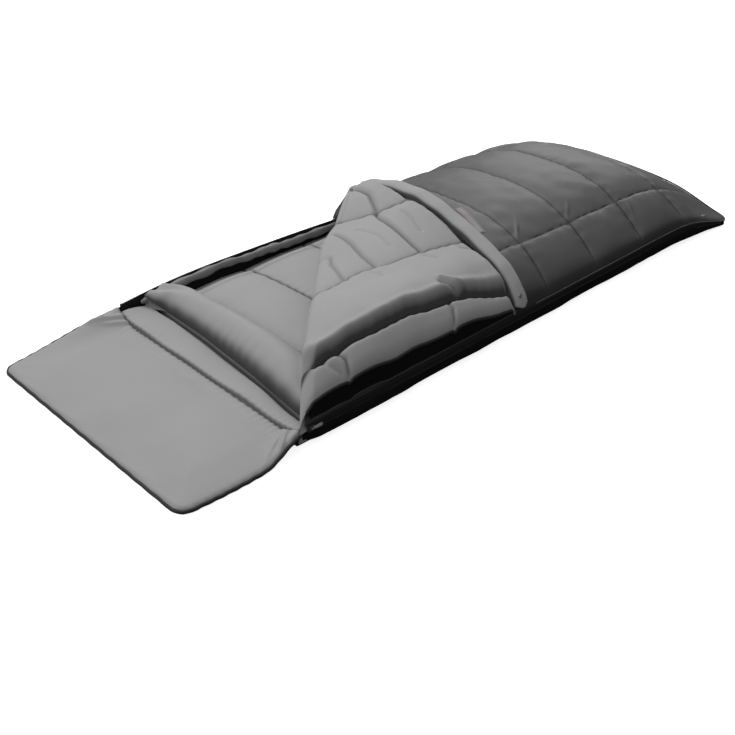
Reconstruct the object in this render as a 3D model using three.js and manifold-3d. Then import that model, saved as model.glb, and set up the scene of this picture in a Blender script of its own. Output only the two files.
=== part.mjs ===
// A rectangular hooded sleeping bag with its far-head corner folded open.
// Units are millimetres, +Z up. X runs from the hood (-X) to the foot (+X), Y from the near long side (-Y) to the far one (+Y).
// All shapes are laid out from the middle of the head opening, on the ground. The whole group is then moved so that its
// origin is the middle of the bag's own footprint, hood included.
import * as THREE from "three";
import { mergeVertices } from "three/addons/utils/BufferGeometryUtils.js";
import Module from "manifold-3d";

const wasm = await Module();
wasm.setup();

// ---------- driving dimensions ----------
const BODY_LENGTH = 1900; // head opening to foot
const HOOD_LENGTH = 370; // head opening to the hood's edge
const WIDTH = 850;
const HALF = WIDTH / 2; // the two zips lie in the planes y = +-HALF
const WALL_OUT = 424.2; // outer face of the shell's side walls
const WALL_IN = 421.5;
const WALL_TOP = 52;
const ZIP_Z = 60; // height of the middle of both zip chains
const PIPE_R = 2.2;
const FOOT_X = BODY_LENGTH - 6.2; // outer face of the shell at the foot
const CORNER_R = 45; // plan radius of the foot corners
const SHELL_T = 1.5; // a shell or lining sheet
const GAP = 0.5;
const BASE_FILL_TOP = 36;
const SIDE_EDGE_Z = 80; // where the top quilt's outer surface meets the zip
const FOLD_Z = 200; // height of the axis that the folded corner turns about
const FOLD_CLEAR = 8; // the folded corner and the top quilt each stop this far from the fold line
const SEG_A = 330,
  SEG_B = 345; // the folded corner bends between these distances from the fold line
const BEND_Z = 250; // height of the axis it bends about
const BEND_SLOPE = 0.3; // above that axis the gap widens by this much for each millimetre of height, on each side
const HOOD_HINGE_Z = 34;
const SLIDER_FAR_X = 868,
  SLIDER_NEAR_X = 30;
const CHAIN_START = 18.4,
  CHAIN_END = 1845;
const R2 = Math.SQRT2;

// ---------- small helpers ----------
const clamp = (v, a, b) => Math.min(b, Math.max(a, v));
const smooth = (a, b, x) => {
  const t = clamp((x - a) / (b - a), 0, 1);
  return t * t * (3 - 2 * t);
};
const lerp = (a, b, t) => a + (b - a) * t;
function table(points, x) {
  if (x <= points[0][0]) return points[0][1];
  for (let i = 1; i < points.length; i++)
    if (x <= points[i][0]) {
      const [x0, y0] = points[i - 1],
        [x1, y1] = points[i];
      return lerp(y0, y1, (x - x0) / (x1 - x0));
    }
  return points[points.length - 1][1];
}

// ---------- the shape of the closed top quilt ----------
// Height of the crown along the bag, at y = 0.
const CROWN = [
  [0, 150], [200, 168], [400, 180], [600, 190], [800, 214], [900, 240], [1000, 250],
  [1220, 247], [1450, 240], [1600, 225], [1720, 200], [1820, 165], [1880, 128], [1900, 115],
];
const footArc = (y) => 35 * (1 - Math.min(1, (y / HALF) ** 2)); // the foot seam arches up in the middle
function edgeZ(x, y) {
  return SIDE_EDGE_Z + footArc(y) * smooth(1700, 1895, x);
}
function topZ(x, y) {
  const n = lerp(5, 2.75, smooth(750, 1100, x));
  const e = edgeZ(x, y),
    e0 = edgeZ(x, 0);
  return e + Math.max(0, table(CROWN, x) - e0) * (1 - Math.min(1, Math.abs(y / HALF)) ** n);
}
function topT(x, y) {
  const side = 1 - Math.min(1, Math.abs(y / HALF)) ** 6;
  const foot = 1 - Math.max(0, (x - 1650) / 250) ** 4;
  return 12 + 26 * side * Math.max(0, foot);
}
// Plan outline at the foot: where x ends for a given y, with rounded corners.
function footEnd(y, xf = FOOT_X, half = WALL_OUT, r = CORNER_R) {
  const d = Math.max(0, Math.abs(y) - (half - r));
  return xf - r + Math.sqrt(Math.max(0, r * r - d * d));
}

// ---------- the folded corner, as it lies folded ----------
// s is the plan distance from the fold line towards the near foot side, t runs along the fold line.
const plan = (s, t) => [(t + s) / R2, -HALF + (t - s) / R2];
const HEM_Z = [[0, 115], [100, 130], [200, 138], [500, 138], [600, 130], [720, 108], [850, 90]];
function flapBottom(x, y) {
  const e = table(HEM_Z, x);
  const crown = table(CROWN, Math.min(x, 880)) + 11;
  return e + Math.max(0, crown - e) * (1 - Math.min(1, Math.abs(y / 440)) ** 4);
}
function flapT(x, y) {
  return 40 - 16 * smooth(350, 420, Math.abs(y));
}
const BAND_IN = 800,
  BAND_OUT = 846; // the padded strip along the opened zip edge
const HEM_IN = -419,
  HEM_OUT = -432;
const LAYER_X = 797; // quilt layers of the folded corner stop here and the strip starts

// ---------- geometry builders ----------
function finishGeometry(g) {
  g.deleteAttribute("normal");
  if (g.getAttribute("uv")) g.deleteAttribute("uv");
  const m = mergeVertices(g, 1e-4);
  m.computeVertexNormals();
  return m;
}
// A sheet or pad: a box whose two faces carry a grid, each point placed by at(u, v, w), with u, v, w from 0 to 1.
function pad(nu, nv, at, nw = 1) {
  const g = new THREE.BoxGeometry(1, 1, 1, nu, nv, nw);
  // The box draws the diagonals of its lower face the other way round; turned, they run as the upper face's do, so that
  // stacked sheets keep an even gap.
  const { start, count } = g.groups[5];
  const ix = g.index.array;
  for (let i = start; i < start + count; i += 6) {
    const [a, b, d, , c] = ix.slice(i, i + 6);
    ix.set([a, b, c, a, c, d], i);
  }
  const p = g.attributes.position;
  for (let i = 0; i < p.count; i++) {
    const q = at(p.getX(i) + 0.5, p.getY(i) + 0.5, p.getZ(i) + 0.5);
    p.setXYZ(i, q[0], q[1], q[2]);
  }
  return finishGeometry(g);
}
// An outline drawn in (y, z) and carried along X.
const ALONG_X = new THREE.Matrix4().set(0, 0, 1, 0, 1, 0, 0, 0, 0, 1, 0, 0, 0, 0, 0, 1);
function alongX(outline, x0, x1) {
  const g = new THREE.ExtrudeGeometry(new THREE.Shape(outline.map(([a, b]) => new THREE.Vector2(a, b))), {
    depth: x1 - x0, bevelEnabled: false, steps: 1,
  });
  g.applyMatrix4(ALONG_X);
  g.translate(x0, 0, 0);
  return finishGeometry(g);
}
function upright(outline, z0, z1, steps = 1) {
  const g = new THREE.ExtrudeGeometry(new THREE.Shape(outline.map(([a, b]) => new THREE.Vector2(a, b))), {
    depth: z1 - z0, bevelEnabled: false, steps,
  });
  g.translate(0, 0, z0);
  return finishGeometry(g);
}
function block(x0, x1, y0, y1, z0, z1) {
  const g = new THREE.BoxGeometry(x1 - x0, y1 - y0, z1 - z0);
  g.translate((x0 + x1) / 2, (y0 + y1) / 2, (z0 + z1) / 2);
  return finishGeometry(g);
}
// A round cord: a cylinder whose rings are moved onto the points of a route, one ring to a point.
function tube(points, r, sides) {
  const n = points.length - 1;
  const P = points.map((p) => new THREE.Vector3(...p));
  const g = new THREE.CylinderGeometry(1, 1, 1, sides, n);
  const pos = g.attributes.position;
  const up = new THREE.Vector3(0, 0, 1);
  for (let i = 0; i < pos.count; i++) {
    const j = Math.round((pos.getY(i) + 0.5) * n);
    const t = P[Math.min(n, j + 1)].clone().sub(P[Math.max(0, j - 1)]).normalize();
    const side = t.clone().cross(up).normalize();
    const rise = side.clone().cross(t);
    const q = P[j].clone().addScaledVector(side, r * pos.getX(i)).addScaledVector(rise, r * pos.getZ(i));
    pos.setXYZ(i, q.x, q.y, q.z);
  }
  return finishGeometry(g);
}
function solid(g) {
  const mesh = new wasm.Mesh({
    numProp: 3,
    vertProperties: new Float32Array(g.attributes.position.array),
    triVerts: new Uint32Array(g.index.array),
  });
  mesh.merge();
  return new wasm.Manifold(mesh);
}
function geometryOf(s) {
  const m = s.getMesh();
  const g = new THREE.BufferGeometry();
  const pos = new Float32Array((m.vertProperties.length / m.numProp) * 3);
  for (let i = 0; i < pos.length / 3; i++)
    for (let k = 0; k < 3; k++) pos[3 * i + k] = m.vertProperties[m.numProp * i + k];
  g.setAttribute("position", new THREE.BufferAttribute(pos, 3));
  g.setIndex(Array.from(m.triVerts));
  return finishGeometry(g.toNonIndexed());
}
const join = (...gs) => geometryOf(gs.map(solid).reduce((a, b) => a.add(b)));
const cut = (g, ...tools) => geometryOf(tools.map(solid).reduce((a, b) => a.subtract(b), solid(g)));

// ---------- materials ----------
const mat = (color, roughness, metalness = 0) => new THREE.MeshStandardMaterial({ color, roughness, metalness });
const M = {
  shell: mat(0x4a4a4c, 0.6),
  lining: mat(0x9d9d9d, 0.95),
  fill: mat(0xe4e2dc, 1),
  binding: mat(0x2b2b2d, 0.75),
  piping: mat(0x6b6b6e, 0.65),
  zip: mat(0x161617, 0.6),
  metal: mat(0xc8c9cb, 0.3, 1),
  label: mat(0x232325, 0.85),
};
const bag = new THREE.Group();
bag.name = "hooded_sleeping_bag";
function add(name, geometry, material, parent = bag) {
  const m = new THREE.Mesh(geometry, material);
  m.name = name;
  parent.add(m);
  return m;
}

// ---------- base ----------
function planOutline(x0, xf, half, r) {
  const pts = [[x0, -half], [xf - r, -half]];
  for (let i = 1; i < 6; i++) {
    const a = -Math.PI / 2 + (i / 6) * (Math.PI / 2);
    pts.push([xf - r + r * Math.cos(a), -half + r + r * Math.sin(a)]);
  }
  pts.push([xf, -half + r], [xf, half - r]);
  for (let i = 1; i < 6; i++) {
    const a = (i / 6) * (Math.PI / 2);
    pts.push([xf - r + r * Math.cos(a), half - r + r * Math.sin(a)]);
  }
  pts.push([xf - r, half], [x0, half]);
  return pts;
}
const wall = upright(planOutline(1, FOOT_X, WALL_OUT, CORNER_R), 0, 100);
const room = upright(planOutline(-20, FOOT_X - 2.7, WALL_IN, CORNER_R - 2.7), 2, 120);
// The walls stand WALL_TOP high along the sides, and rise with the seam's arch at the foot.
const aboveSides = block(-50, 1856, -500, 500, WALL_TOP, 150);
const archPoints = [];
for (let i = 0; i <= 16; i++) {
  const y = HALF * (i / 8 - 1);
  archPoints.push([y, WALL_TOP + footArc(y)]);
}
archPoints.push([460, WALL_TOP], [460, 160], [-460, 160], [-460, WALL_TOP]);
const aboveFoot = alongX(archPoints, 1855.9, 1960);
add("base_outer_shell", cut(wall, room, aboveSides, aboveFoot), M.shell);

const baseEnd = (y) => footEnd(y, FOOT_X - 4.2, 418.5, 40);
function basePoint(u, v, z) {
  const y = lerp(-418, 418, v);
  return [lerp(3, baseEnd(y), u), y, z];
}
const fillTop = (u, v) => BASE_FILL_TOP - 10 * (smooth(0.04, 0, v) + smooth(0.96, 1, v));
add("base_fill", pad(12, 10, (u, v, w) => basePoint(u, v, w ? fillTop(u, v) : 2 + GAP)), M.fill);
add("base_lining", pad(12, 10, (u, v, w) => basePoint(u, v, fillTop(u, v) + GAP + (w ? SHELL_T : 0))), M.lining);

// The padded collar that lies across the bag below the head.
add(
  "draft_collar",
  pad(6, 12, (u, v, w) => {
    const y = lerp(-385, 385, v);
    const end = 1 - Math.abs(2 * v - 1) ** 6;
    const half = 46 + 19 * end;
    const c = Math.cos((u - 0.5) * Math.PI);
    const top = 42 + (8 + (y < 0 ? lerp(44, 30, smooth(-200, -385, y)) : 44) * end) * (0.25 + 0.75 * c);
    return [170 + (u - 0.5) * 2 * half, y, w ? top : 39.2];
  }),
  M.lining,
);
// Padded guard inside the far zip.
add(
  "far_draft_tube",
  alongX([[394, 44], [398, 39.5], [412, 39.5], [417, 45], [418, 56], [413, 64], [404, 66], [396, 60], [393, 52]], 75, 1840),
  M.lining,
);
add(
  "near_draft_tube",
  alongX([[-393, 52], [-396, 60], [-404, 66], [-413, 64], [-418, 56], [-417, 45], [-412, 39.5], [-398, 39.5], [-394, 44]].reverse(), 75, 1840),
  M.lining,
);

// ---------- closed part of the top quilt ----------
const topHalf = 424;
const foldX = (y) => y + HALF + FOLD_CLEAR * R2; // where the top quilt starts, beside the fold line
function topPoint(u, v, dz) {
  const k = 2 * v - 1;
  const y = topHalf * Math.sign(k) * Math.sin((Math.abs(k) * Math.PI) / 2) ** 0.9;
  const x = lerp(foldX(y), footEnd(y, FOOT_X - 0.3, 424.1, CORNER_R), u);
  return [x, y, topZ(x, y) + dz(x, y)];
}
add("top_outer_shell", pad(12, 10, (u, v, w) => topPoint(u, v, () => (w ? 0 : -SHELL_T))), M.shell);
add("top_fill", pad(12, 10, (u, v, w) => topPoint(u, v, (x, y) => (w ? -SHELL_T - GAP : -topT(x, y) + SHELL_T + GAP))), M.fill);
add("top_lining", pad(12, 10, (u, v, w) => topPoint(u, v, (x, y) => (w ? -topT(x, y) + SHELL_T : -topT(x, y)))), M.lining);

// Seam binding that joins the top quilt to the base round the foot.
function footPath(v, inset) {
  // from the far side, round the foot, to the near side
  const half = WALL_OUT - inset,
    xf = FOOT_X - inset,
    r = CORNER_R - inset;
  const arc = (Math.PI / 2) * r,
    straight = 2 * (half - r);
  const L = 2 * arc + straight;
  let d = v * L;
  if (d < arc) {
    const a = Math.PI / 2 - d / r;
    return [xf - r + r * Math.cos(a), half - r + r * Math.sin(a)];
  }
  d -= arc;
  if (d < straight) return [xf, half - r - d];
  const a = -(d - straight) / r;
  return [xf - r + r * Math.cos(a), -(half - r) + r * Math.sin(a)];
}
add(
  "foot_seam_binding",
  pad(1, 24, (u, v, w) => {
    const [x, y] = footPath(0.012 + 0.976 * v, w ? 2.4 : 0.2);
    const arch = footArc(y) * smooth(1700, 1895, x);
    return [x, y, u ? WALL_TOP + 1.6 + footArc(y) : SIDE_EDGE_Z - 12.6 + arch];
  }),
  M.binding,
);
// Piping sewn round the edge of the top quilt.
{
  const off = 3.8;
  const pts = [];
  for (let i = 0; i <= 5; i++) pts.push([lerp(900, 1848, i / 5), WALL_OUT + off, 71]);
  for (let i = 1; i < 48; i++) {
    if (i > 6 && i < 42 && i % 3) continue;
    const [x, y] = footPath(i / 48, -off);
    pts.push([x, y, 71 + footArc(y) * smooth(1700, 1895, x)]);
  }
  for (let i = 0; i <= 5; i++) pts.push([lerp(1848, 900, i / 5), -WALL_OUT - off, 71]);
  add("top_piping", tube(pts, PIPE_R, 8), M.piping);
}
// A blank woven patch on the top quilt, beside the folded edge.
add(
  "woven_patch",
  pad(2, 6, (u, v, w) => {
    const x = lerp(893, 917, u),
      y = lerp(-240, -130, v);
    return [x, y, topZ(x, y) + 1.2 + (w ? 1 : 0)];
  }),
  M.label,
);

// ---------- zips ----------
// One half of a chain: a flat tape with a bead along its edge, in the plane y = side * HALF.
function zipHalf(side, upper, x0, x1) {
  const z = upper ? (d) => ZIP_Z + d : (d) => ZIP_Z - d;
  let o = [
    [HALF - 1.5, z(0.9)], [HALF + 1.5, z(0.9)], [HALF + 1.5, z(3.4)], [HALF + 0.4, z(3.9)],
    [HALF + 0.4, z(16)], [HALF - 0.4, z(16)], [HALF - 0.4, z(3.9)], [HALF - 1.5, z(3.4)],
  ];
  if (side < 0) o = o.map(([y, h]) => [-y, h]);
  const area = o.reduce((a, p, i) => a + p[0] * o[(i + 1) % o.length][1] - o[(i + 1) % o.length][0] * p[1], 0);
  return alongX(area < 0 ? o.reverse() : o, x0, x1);
}
add("far_zip_base_half", zipHalf(1, false, CHAIN_START, CHAIN_END), M.zip);
add("far_zip_top_half", zipHalf(1, true, SLIDER_FAR_X + 14, CHAIN_END), M.zip);
add("near_zip_base_half", zipHalf(-1, false, CHAIN_START, CHAIN_END), M.zip);
add("near_zip_top_half", zipHalf(-1, true, CHAIN_START, CHAIN_END), M.zip);
for (const [name, side] of [["far", 1], ["near", -1]]) {
  const y = side * HALF;
  add(name + "_zip_foot_stop", block(CHAIN_END + 0.4, CHAIN_END + 6, y - 2.4, y + 2.4, ZIP_Z - 4, ZIP_Z + 4), M.metal);
  add(name + "_zip_head_stop", block(CHAIN_START - 6, CHAIN_START - 0.4, y - 2.4, y + 2.4, ZIP_Z - 5, ZIP_Z - 0.6), M.metal);
}
// Slider: two plates either side of the chain, joined by a post that runs in the slit between the beads,
// with two lugs and a pin on the outer plate for the pull tab.
function slider(side) {
  const y = (d) => side * (HALF + d);
  const span = (a, b) => [Math.min(y(a), y(b)), Math.max(y(a), y(b))];
  const pinGeometry = new THREE.CylinderGeometry(0.6, 0.6, 8, 10);
  pinGeometry.rotateX(Math.PI / 2);
  pinGeometry.translate(0, y(5.0), ZIP_Z);
  const plate = (a, b) => {
    const o = [[-10, -5.4], [-7, -6.5], [7, -6.5], [10, -4.5], [10, 4.5], [7, 6.5], [-7, 6.5], [-10, 5.4]];
    const s = new THREE.ExtrudeGeometry(new THREE.Shape(o.map(([p, q]) => new THREE.Vector2(p, q))), {
      depth: b - a, bevelEnabled: false,
    });
    s.rotateX(Math.PI / 2); // (x, y, z) -> (x, -z, y)
    s.translate(0, span(a, b)[1], ZIP_Z);
    return finishGeometry(s);
  };
  return join(
    plate(2, 3.2),
    plate(-3.2, -2),
    block(-9, -6, ...span(-2.4, 2.4), ZIP_Z - 0.6, ZIP_Z + 0.6),
    block(-1.6, 1.6, ...span(3, 7.0), ZIP_Z - 4.4, ZIP_Z - 2.4),
    block(-1.6, 1.6, ...span(3, 7.0), ZIP_Z + 2.4, ZIP_Z + 4.4),
    finishGeometry(pinGeometry),
  );
}
// Pull tab: a barrel on the pin, and a flat tab that lies along the chain.
function pull(side) {
  const yc = side * (HALF + 5.0);
  const ring = new THREE.Shape();
  ring.absarc(0, 0, 1.6, 0, 2 * Math.PI, false);
  const hole = new THREE.Path();
  hole.absarc(0, 0, 0.9, 0, 2 * Math.PI, true);
  ring.holes.push(hole);
  const barrel = new THREE.ExtrudeGeometry(ring, { depth: 4, bevelEnabled: false, curveSegments: 6 });
  barrel.translate(0, 0, -2);
  const o = [[1.3, -1.9], [6, -1.9], [12, -4.2], [30, -4.8], [33, -3], [33, 3], [30, 4.8], [12, 4.2], [6, 1.9], [1.3, 1.9]];
  const tab = new THREE.ExtrudeGeometry(new THREE.Shape(o.map(([p, q]) => new THREE.Vector2(p, q))), {
    depth: 1.2, bevelEnabled: false,
  });
  tab.rotateX(Math.PI / 2);
  tab.translate(0, 0.6, 0);
  const g = join(finishGeometry(barrel), finishGeometry(tab));
  g.translate(0, yc, ZIP_Z);
  return g;
}
for (const [name, side, x] of [["far", 1, SLIDER_FAR_X], ["near", -1, SLIDER_NEAR_X]]) {
  const carriage = new THREE.Group();
  carriage.position.x = x;
  bag.add(carriage);
  add(name + "_zip_slider", slider(side), M.metal, carriage);
  add(name + "_zip_pull", pull(side), M.metal, carriage);
}

// ---------- folded corner of the top quilt ----------
// It turns about the fold line and bends once on the way, so each layer is in two lengths with a gap between them.
const hemT = (s) => s + 0.012 * 1000;
const bandT = (s) => LAYER_X * R2 - s;
function flapPoint(s0, s1, u, v, dz) {
  const s = lerp(s0, s1, u);
  const t = lerp(Math.max(hemT(s), 100), bandT(s), v);
  const [x, y] = plan(s, t);
  return [x, y, flapBottom(x, y) + dz(x, y)];
}
for (const [name, s0, s1, nu, nv] of [["flap", FOLD_CLEAR, SEG_A, 8, 10], ["flap_corner", SEG_B, 545, 6, 6]]) {
  add(name + "_outer_shell", pad(nu, nv, (u, v, w) => flapPoint(s0, s1, u, v, () => (w ? SHELL_T : 0))), M.shell);
  add(name + "_fill", pad(nu, nv, (u, v, w) => flapPoint(s0, s1, u, v, (x, y) => (w ? flapT(x, y) - SHELL_T - GAP : SHELL_T + GAP))), M.fill);
  add(name + "_lining", pad(nu, nv, (u, v, w) => flapPoint(s0, s1, u, v, (x, y) => flapT(x, y) - (w ? 0 : SHELL_T))), M.lining);
}
const sLineY = (x, s) => x - HALF - s * R2; // y on the line at distance s from the fold
const bandBottom = (x, y) => flapBottom(BAND_IN, y) + 0.4 * Math.max(0, x - BAND_IN) * (1 - Math.min(1, Math.abs(y / 440)) ** 4);
function bandPoint(u, v, w, lo, hi) {
  const x = lerp(BAND_IN, BAND_OUT, u);
  const round = Math.sin(Math.PI * clamp(0.15 + 0.7 * u, 0, 1));
  const height = (y) => bandBottom(x, y) + (w ? (28 + 40 * round) * (1 - 0.35 * smooth(300, 430, Math.abs(y))) : 0);
  const lean = w ? BEND_SLOPE * Math.max(0, height(sLineY(x, SEG_A)) - BEND_Z) : 0;
  const y = lerp(lo(x, lean), hi(x, lean), v);
  return [x, y, height(y)];
}
const bandFar = [(x, lean = 0) => sLineY(x, SEG_A - lean), (x) => sLineY(x, 30)];
const bandNear = [() => -430, (x, lean = 0) => sLineY(x, SEG_B + lean)];
add("flap_edge_strip", pad(4, 10, (u, v, w) => bandPoint(u, v, w, ...bandFar)), M.lining);
add("flap_corner_edge_strip", pad(4, 10, (u, v, w) => bandPoint(u, v, w, ...bandNear)), M.lining);
function flapZip(u, v, w, lo, hi) {
  const x = lerp(BAND_OUT + 0.6, BAND_OUT + 14, u);
  const y = lerp(lo(x), hi(x), v);
  return [x, y, bandBottom(BAND_OUT, y) + 14 + (w ? 2.4 : 0)];
}
add("flap_zip_half", pad(1, 10, (u, v, w) => flapZip(u, v, w, ...bandFar)), M.zip);
add("flap_corner_zip_half", pad(1, 10, (u, v, w) => flapZip(u, v, w, ...bandNear)), M.zip);
function hemPoint(u, v, w, lo, hi) {
  const y = lerp(HEM_OUT, HEM_IN, v);
  const x = lerp(lo(y), hi(y), u);
  return [x, y, flapBottom(x, y) + (w ? flapT(x, y) - 2 : -3)];
}
const hemX = (y, s) => y + HALF + s * R2;
add("flap_hem", pad(10, 1, (u, v, w) => hemPoint(u, v, w, () => 75, (y) => hemX(y, SEG_A))), M.binding);
add("flap_corner_hem", pad(8, 1, (u, v, w) => hemPoint(u, v, w, (y) => hemX(y, SEG_B), () => LAYER_X)), M.binding);
// Press stud: the cap sits on the near end of the edge strip, the socket on the base's far head corner,
// which the corner meets when the flap is laid back.
const studDisc = (r, h) => {
  const g = new THREE.LatheGeometry(
    [[0, 0], [r, 0], [r, h * 0.6], [r * 0.75, h], [0, h]].map(([a, b]) => new THREE.Vector2(a, b)),
    16,
  );
  g.rotateX(Math.PI / 2);
  return finishGeometry(g);
};
{
  const x = 823,
    y = -372;
  const u = (x - BAND_IN) / (BAND_OUT - BAND_IN);
  const z = (yy) => {
    const lo = -430,
      hi = sLineY(x, SEG_B);
    return bandPoint(u, (yy - lo) / (hi - lo), 1, () => lo, () => hi)[2];
  };
  const slope = (z(y + 12) - z(y - 12)) / 24;
  const tilt = Math.atan(slope);
  const cap = studDisc(7, 3);
  cap.rotateX(tilt);
  const lift = 3.2;
  cap.translate(x, y - Math.sin(tilt) * lift, z(y) + Math.cos(tilt) * lift);
  add("press_stud_cap", cap, M.metal);
  const socket = studDisc(6.5, 3);
  socket.translate(45, 398, 38.6);
  add("press_stud_socket", socket, M.metal);
}

// ---------- hood ----------
const HOOD_IN = -1.5,
  HOOD_OUT = -364.2,
  HOOD_HALF = 418,
  HOOD_R = 32;
function hoodPoint(u, v, z) {
  const y = lerp(-HOOD_HALF, HOOD_HALF, v);
  const d = Math.max(0, Math.abs(y) - (HOOD_HALF - HOOD_R));
  const x0 = HOOD_OUT + HOOD_R - Math.sqrt(Math.max(0, HOOD_R * HOOD_R - d * d));
  return [lerp(x0, HOOD_IN, u), y, z];
}
const hoodTop = (u, v) => 13 + 17 * Math.min(1, 5 * Math.min(u, 1 - u, v, 1 - v)) ** 0.7;
add("hood_outer_shell", pad(6, 8, (u, v, w) => hoodPoint(u, v, w ? SHELL_T : 0)), M.shell);
add("hood_fill", pad(8, 10, (u, v, w) => hoodPoint(u, v, w ? hoodTop(u, v) : SHELL_T + GAP)), M.fill);
add("hood_lining", pad(8, 10, (u, v, w) => hoodPoint(u, v, hoodTop(u, v) + GAP + (w ? SHELL_T : 0))), M.lining);
{
  const e = 3.3,
    pts = [];
  const xo = HOOD_OUT - e,
    h = HOOD_HALF + e,
    r = HOOD_R + e;
  for (let i = 0; i <= 3; i++) pts.push([lerp(-4, xo + r, i / 3), h, 10]);
  for (let i = 1; i < 6; i++) {
    const a = Math.PI / 2 + (i / 6) * (Math.PI / 2);
    pts.push([xo + r + r * Math.cos(a), h - r + r * Math.sin(a), 10]);
  }
  for (let i = 0; i <= 4; i++) pts.push([xo, lerp(h - r, -h + r, i / 4), 10]);
  for (let i = 1; i < 6; i++) {
    const a = Math.PI + (i / 6) * (Math.PI / 2);
    pts.push([xo + r + r * Math.cos(a), -h + r + r * Math.sin(a), 10]);
  }
  for (let i = 0; i <= 3; i++) pts.push([lerp(xo + r, -4, i / 3), -h, 10]);
  add("hood_piping", tube(pts, 2.5, 8), M.binding);
}

// The origin moves to the middle of the footprint, on the ground.
bag.position.set(-(BODY_LENGTH - HOOD_LENGTH) / 2, 0, 0);

export default bag;
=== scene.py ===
"""Quilted rectangular bag with a turned-back corner and a hood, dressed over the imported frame."""
import math
import bpy
import bmesh
import numpy as np
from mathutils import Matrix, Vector


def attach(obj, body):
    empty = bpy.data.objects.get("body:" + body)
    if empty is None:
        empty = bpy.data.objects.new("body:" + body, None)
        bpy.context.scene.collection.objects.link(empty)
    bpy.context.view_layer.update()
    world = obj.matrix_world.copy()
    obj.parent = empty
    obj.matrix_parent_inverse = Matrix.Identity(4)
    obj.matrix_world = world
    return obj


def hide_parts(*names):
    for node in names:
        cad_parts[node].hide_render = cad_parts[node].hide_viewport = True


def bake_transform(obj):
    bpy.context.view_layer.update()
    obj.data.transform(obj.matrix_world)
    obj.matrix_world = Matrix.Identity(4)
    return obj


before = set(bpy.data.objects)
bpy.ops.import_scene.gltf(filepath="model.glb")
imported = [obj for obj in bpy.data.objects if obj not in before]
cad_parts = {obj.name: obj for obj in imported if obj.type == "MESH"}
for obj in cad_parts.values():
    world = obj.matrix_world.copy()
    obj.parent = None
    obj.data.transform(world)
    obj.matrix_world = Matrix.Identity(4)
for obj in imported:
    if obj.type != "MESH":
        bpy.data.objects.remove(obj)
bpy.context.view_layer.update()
scene = bpy.context.scene

SHIFT = np.array([-0.765, 0.0, 0.0])     # layout runs from the head opening; the frame is centred
K = 1 / math.sqrt(2)

# ------------------------------------------------------------------ small maths


def smooth(a, b, x):
    t = np.clip((np.asarray(x, float) - a) / (b - a), 0, 1)
    return t * t * (3 - 2 * t)


def table(rows):
    xs, zs = [r[0] for r in rows], [r[1] for r in rows]
    # monotone-ish smooth curve: dense linear interpolation, then a short box filter
    g = np.linspace(xs[0], xs[-1], 600)
    z = np.interp(g, xs, zs)
    w = 25
    pad = np.concatenate([np.linspace(2 * z[0] - z[w], z[0], w, endpoint=False), z,
                          np.linspace(z[-1], 2 * z[-1] - z[-1 - w], w + 1)[1:]])
    z = np.convolve(pad, np.ones(2 * w + 1) / (2 * w + 1), "valid")
    return lambda x: np.interp(x, g, z)


def noise(seed, scale, n=16, spread=0.55):
    r = np.random.RandomState(seed)
    a, p = r.uniform(0, 2 * math.pi, n), r.uniform(0, 2 * math.pi, n)
    k = scale * r.uniform(1 - spread, 1 + spread, n)
    amp = math.sqrt(2.0 / n)
    return lambda x, y: amp * sum(np.sin(k[i] * (math.cos(a[i]) * x + math.sin(a[i]) * y) + p[i])
                                  for i in range(n))


def rbf(points, ridge=1e-4):
    p = np.array(points, float)
    xy, z = p[:, :2], p[:, 2]
    d = np.linalg.norm(xy[:, None] - xy[None], axis=2)
    phi = d ** 2 * np.log(d + 1e-9)
    n = len(p)
    lin = np.concatenate([np.ones((n, 1)), xy], 1)
    m = np.zeros((n + 3, n + 3))
    m[:n, :n] = phi + ridge * np.eye(n)
    m[:n, n:] = lin
    m[n:, :n] = lin.T
    w = np.linalg.solve(m, np.concatenate([z, np.zeros(3)]))

    def f(x, y):
        x, y = np.asarray(x, float), np.asarray(y, float)
        out = w[n] + w[n + 1] * x + w[n + 2] * y
        for i in range(n):
            dd = np.hypot(x - xy[i, 0], y - xy[i, 1])
            out = out + w[i] * dd ** 2 * np.log(dd + 1e-9)
        return out
    return f


def puff(f, power=0.55):
    return np.clip(4 * f * (1 - f), 0, 1) ** power


def spaced(a, b, n, ends=0.0):
    """n values from a to b, drawn together near both ends."""
    u = np.linspace(0, 1, n)
    v = u - ends * np.sin(2 * math.pi * u) / (2 * math.pi)
    return a + (b - a) * v


# ------------------------------------------------------------------ mesh building


def grid_faces(nu, nv, off=0, flip=False, wrap=False):
    i, j = np.meshgrid(np.arange(nu - 1), np.arange(nv if wrap else nv - 1), indexing="ij")
    j2 = (j + 1) % nv
    f = np.stack([i * nv + j, (i + 1) * nv + j, (i + 1) * nv + j2, i * nv + j2], -1).reshape(-1, 4) + off
    return f[:, ::-1] if flip else f


def grid_normals(p, wrap=False):
    du = np.gradient(p, axis=0)
    if wrap:
        dv = (np.roll(p, -1, 1) - np.roll(p, 1, 1)) / 2
    else:
        dv = np.gradient(p, axis=1)
    n = np.cross(du, dv)
    length = np.linalg.norm(n, axis=2, keepdims=True)
    return n / np.maximum(length, 1e-12)


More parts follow.
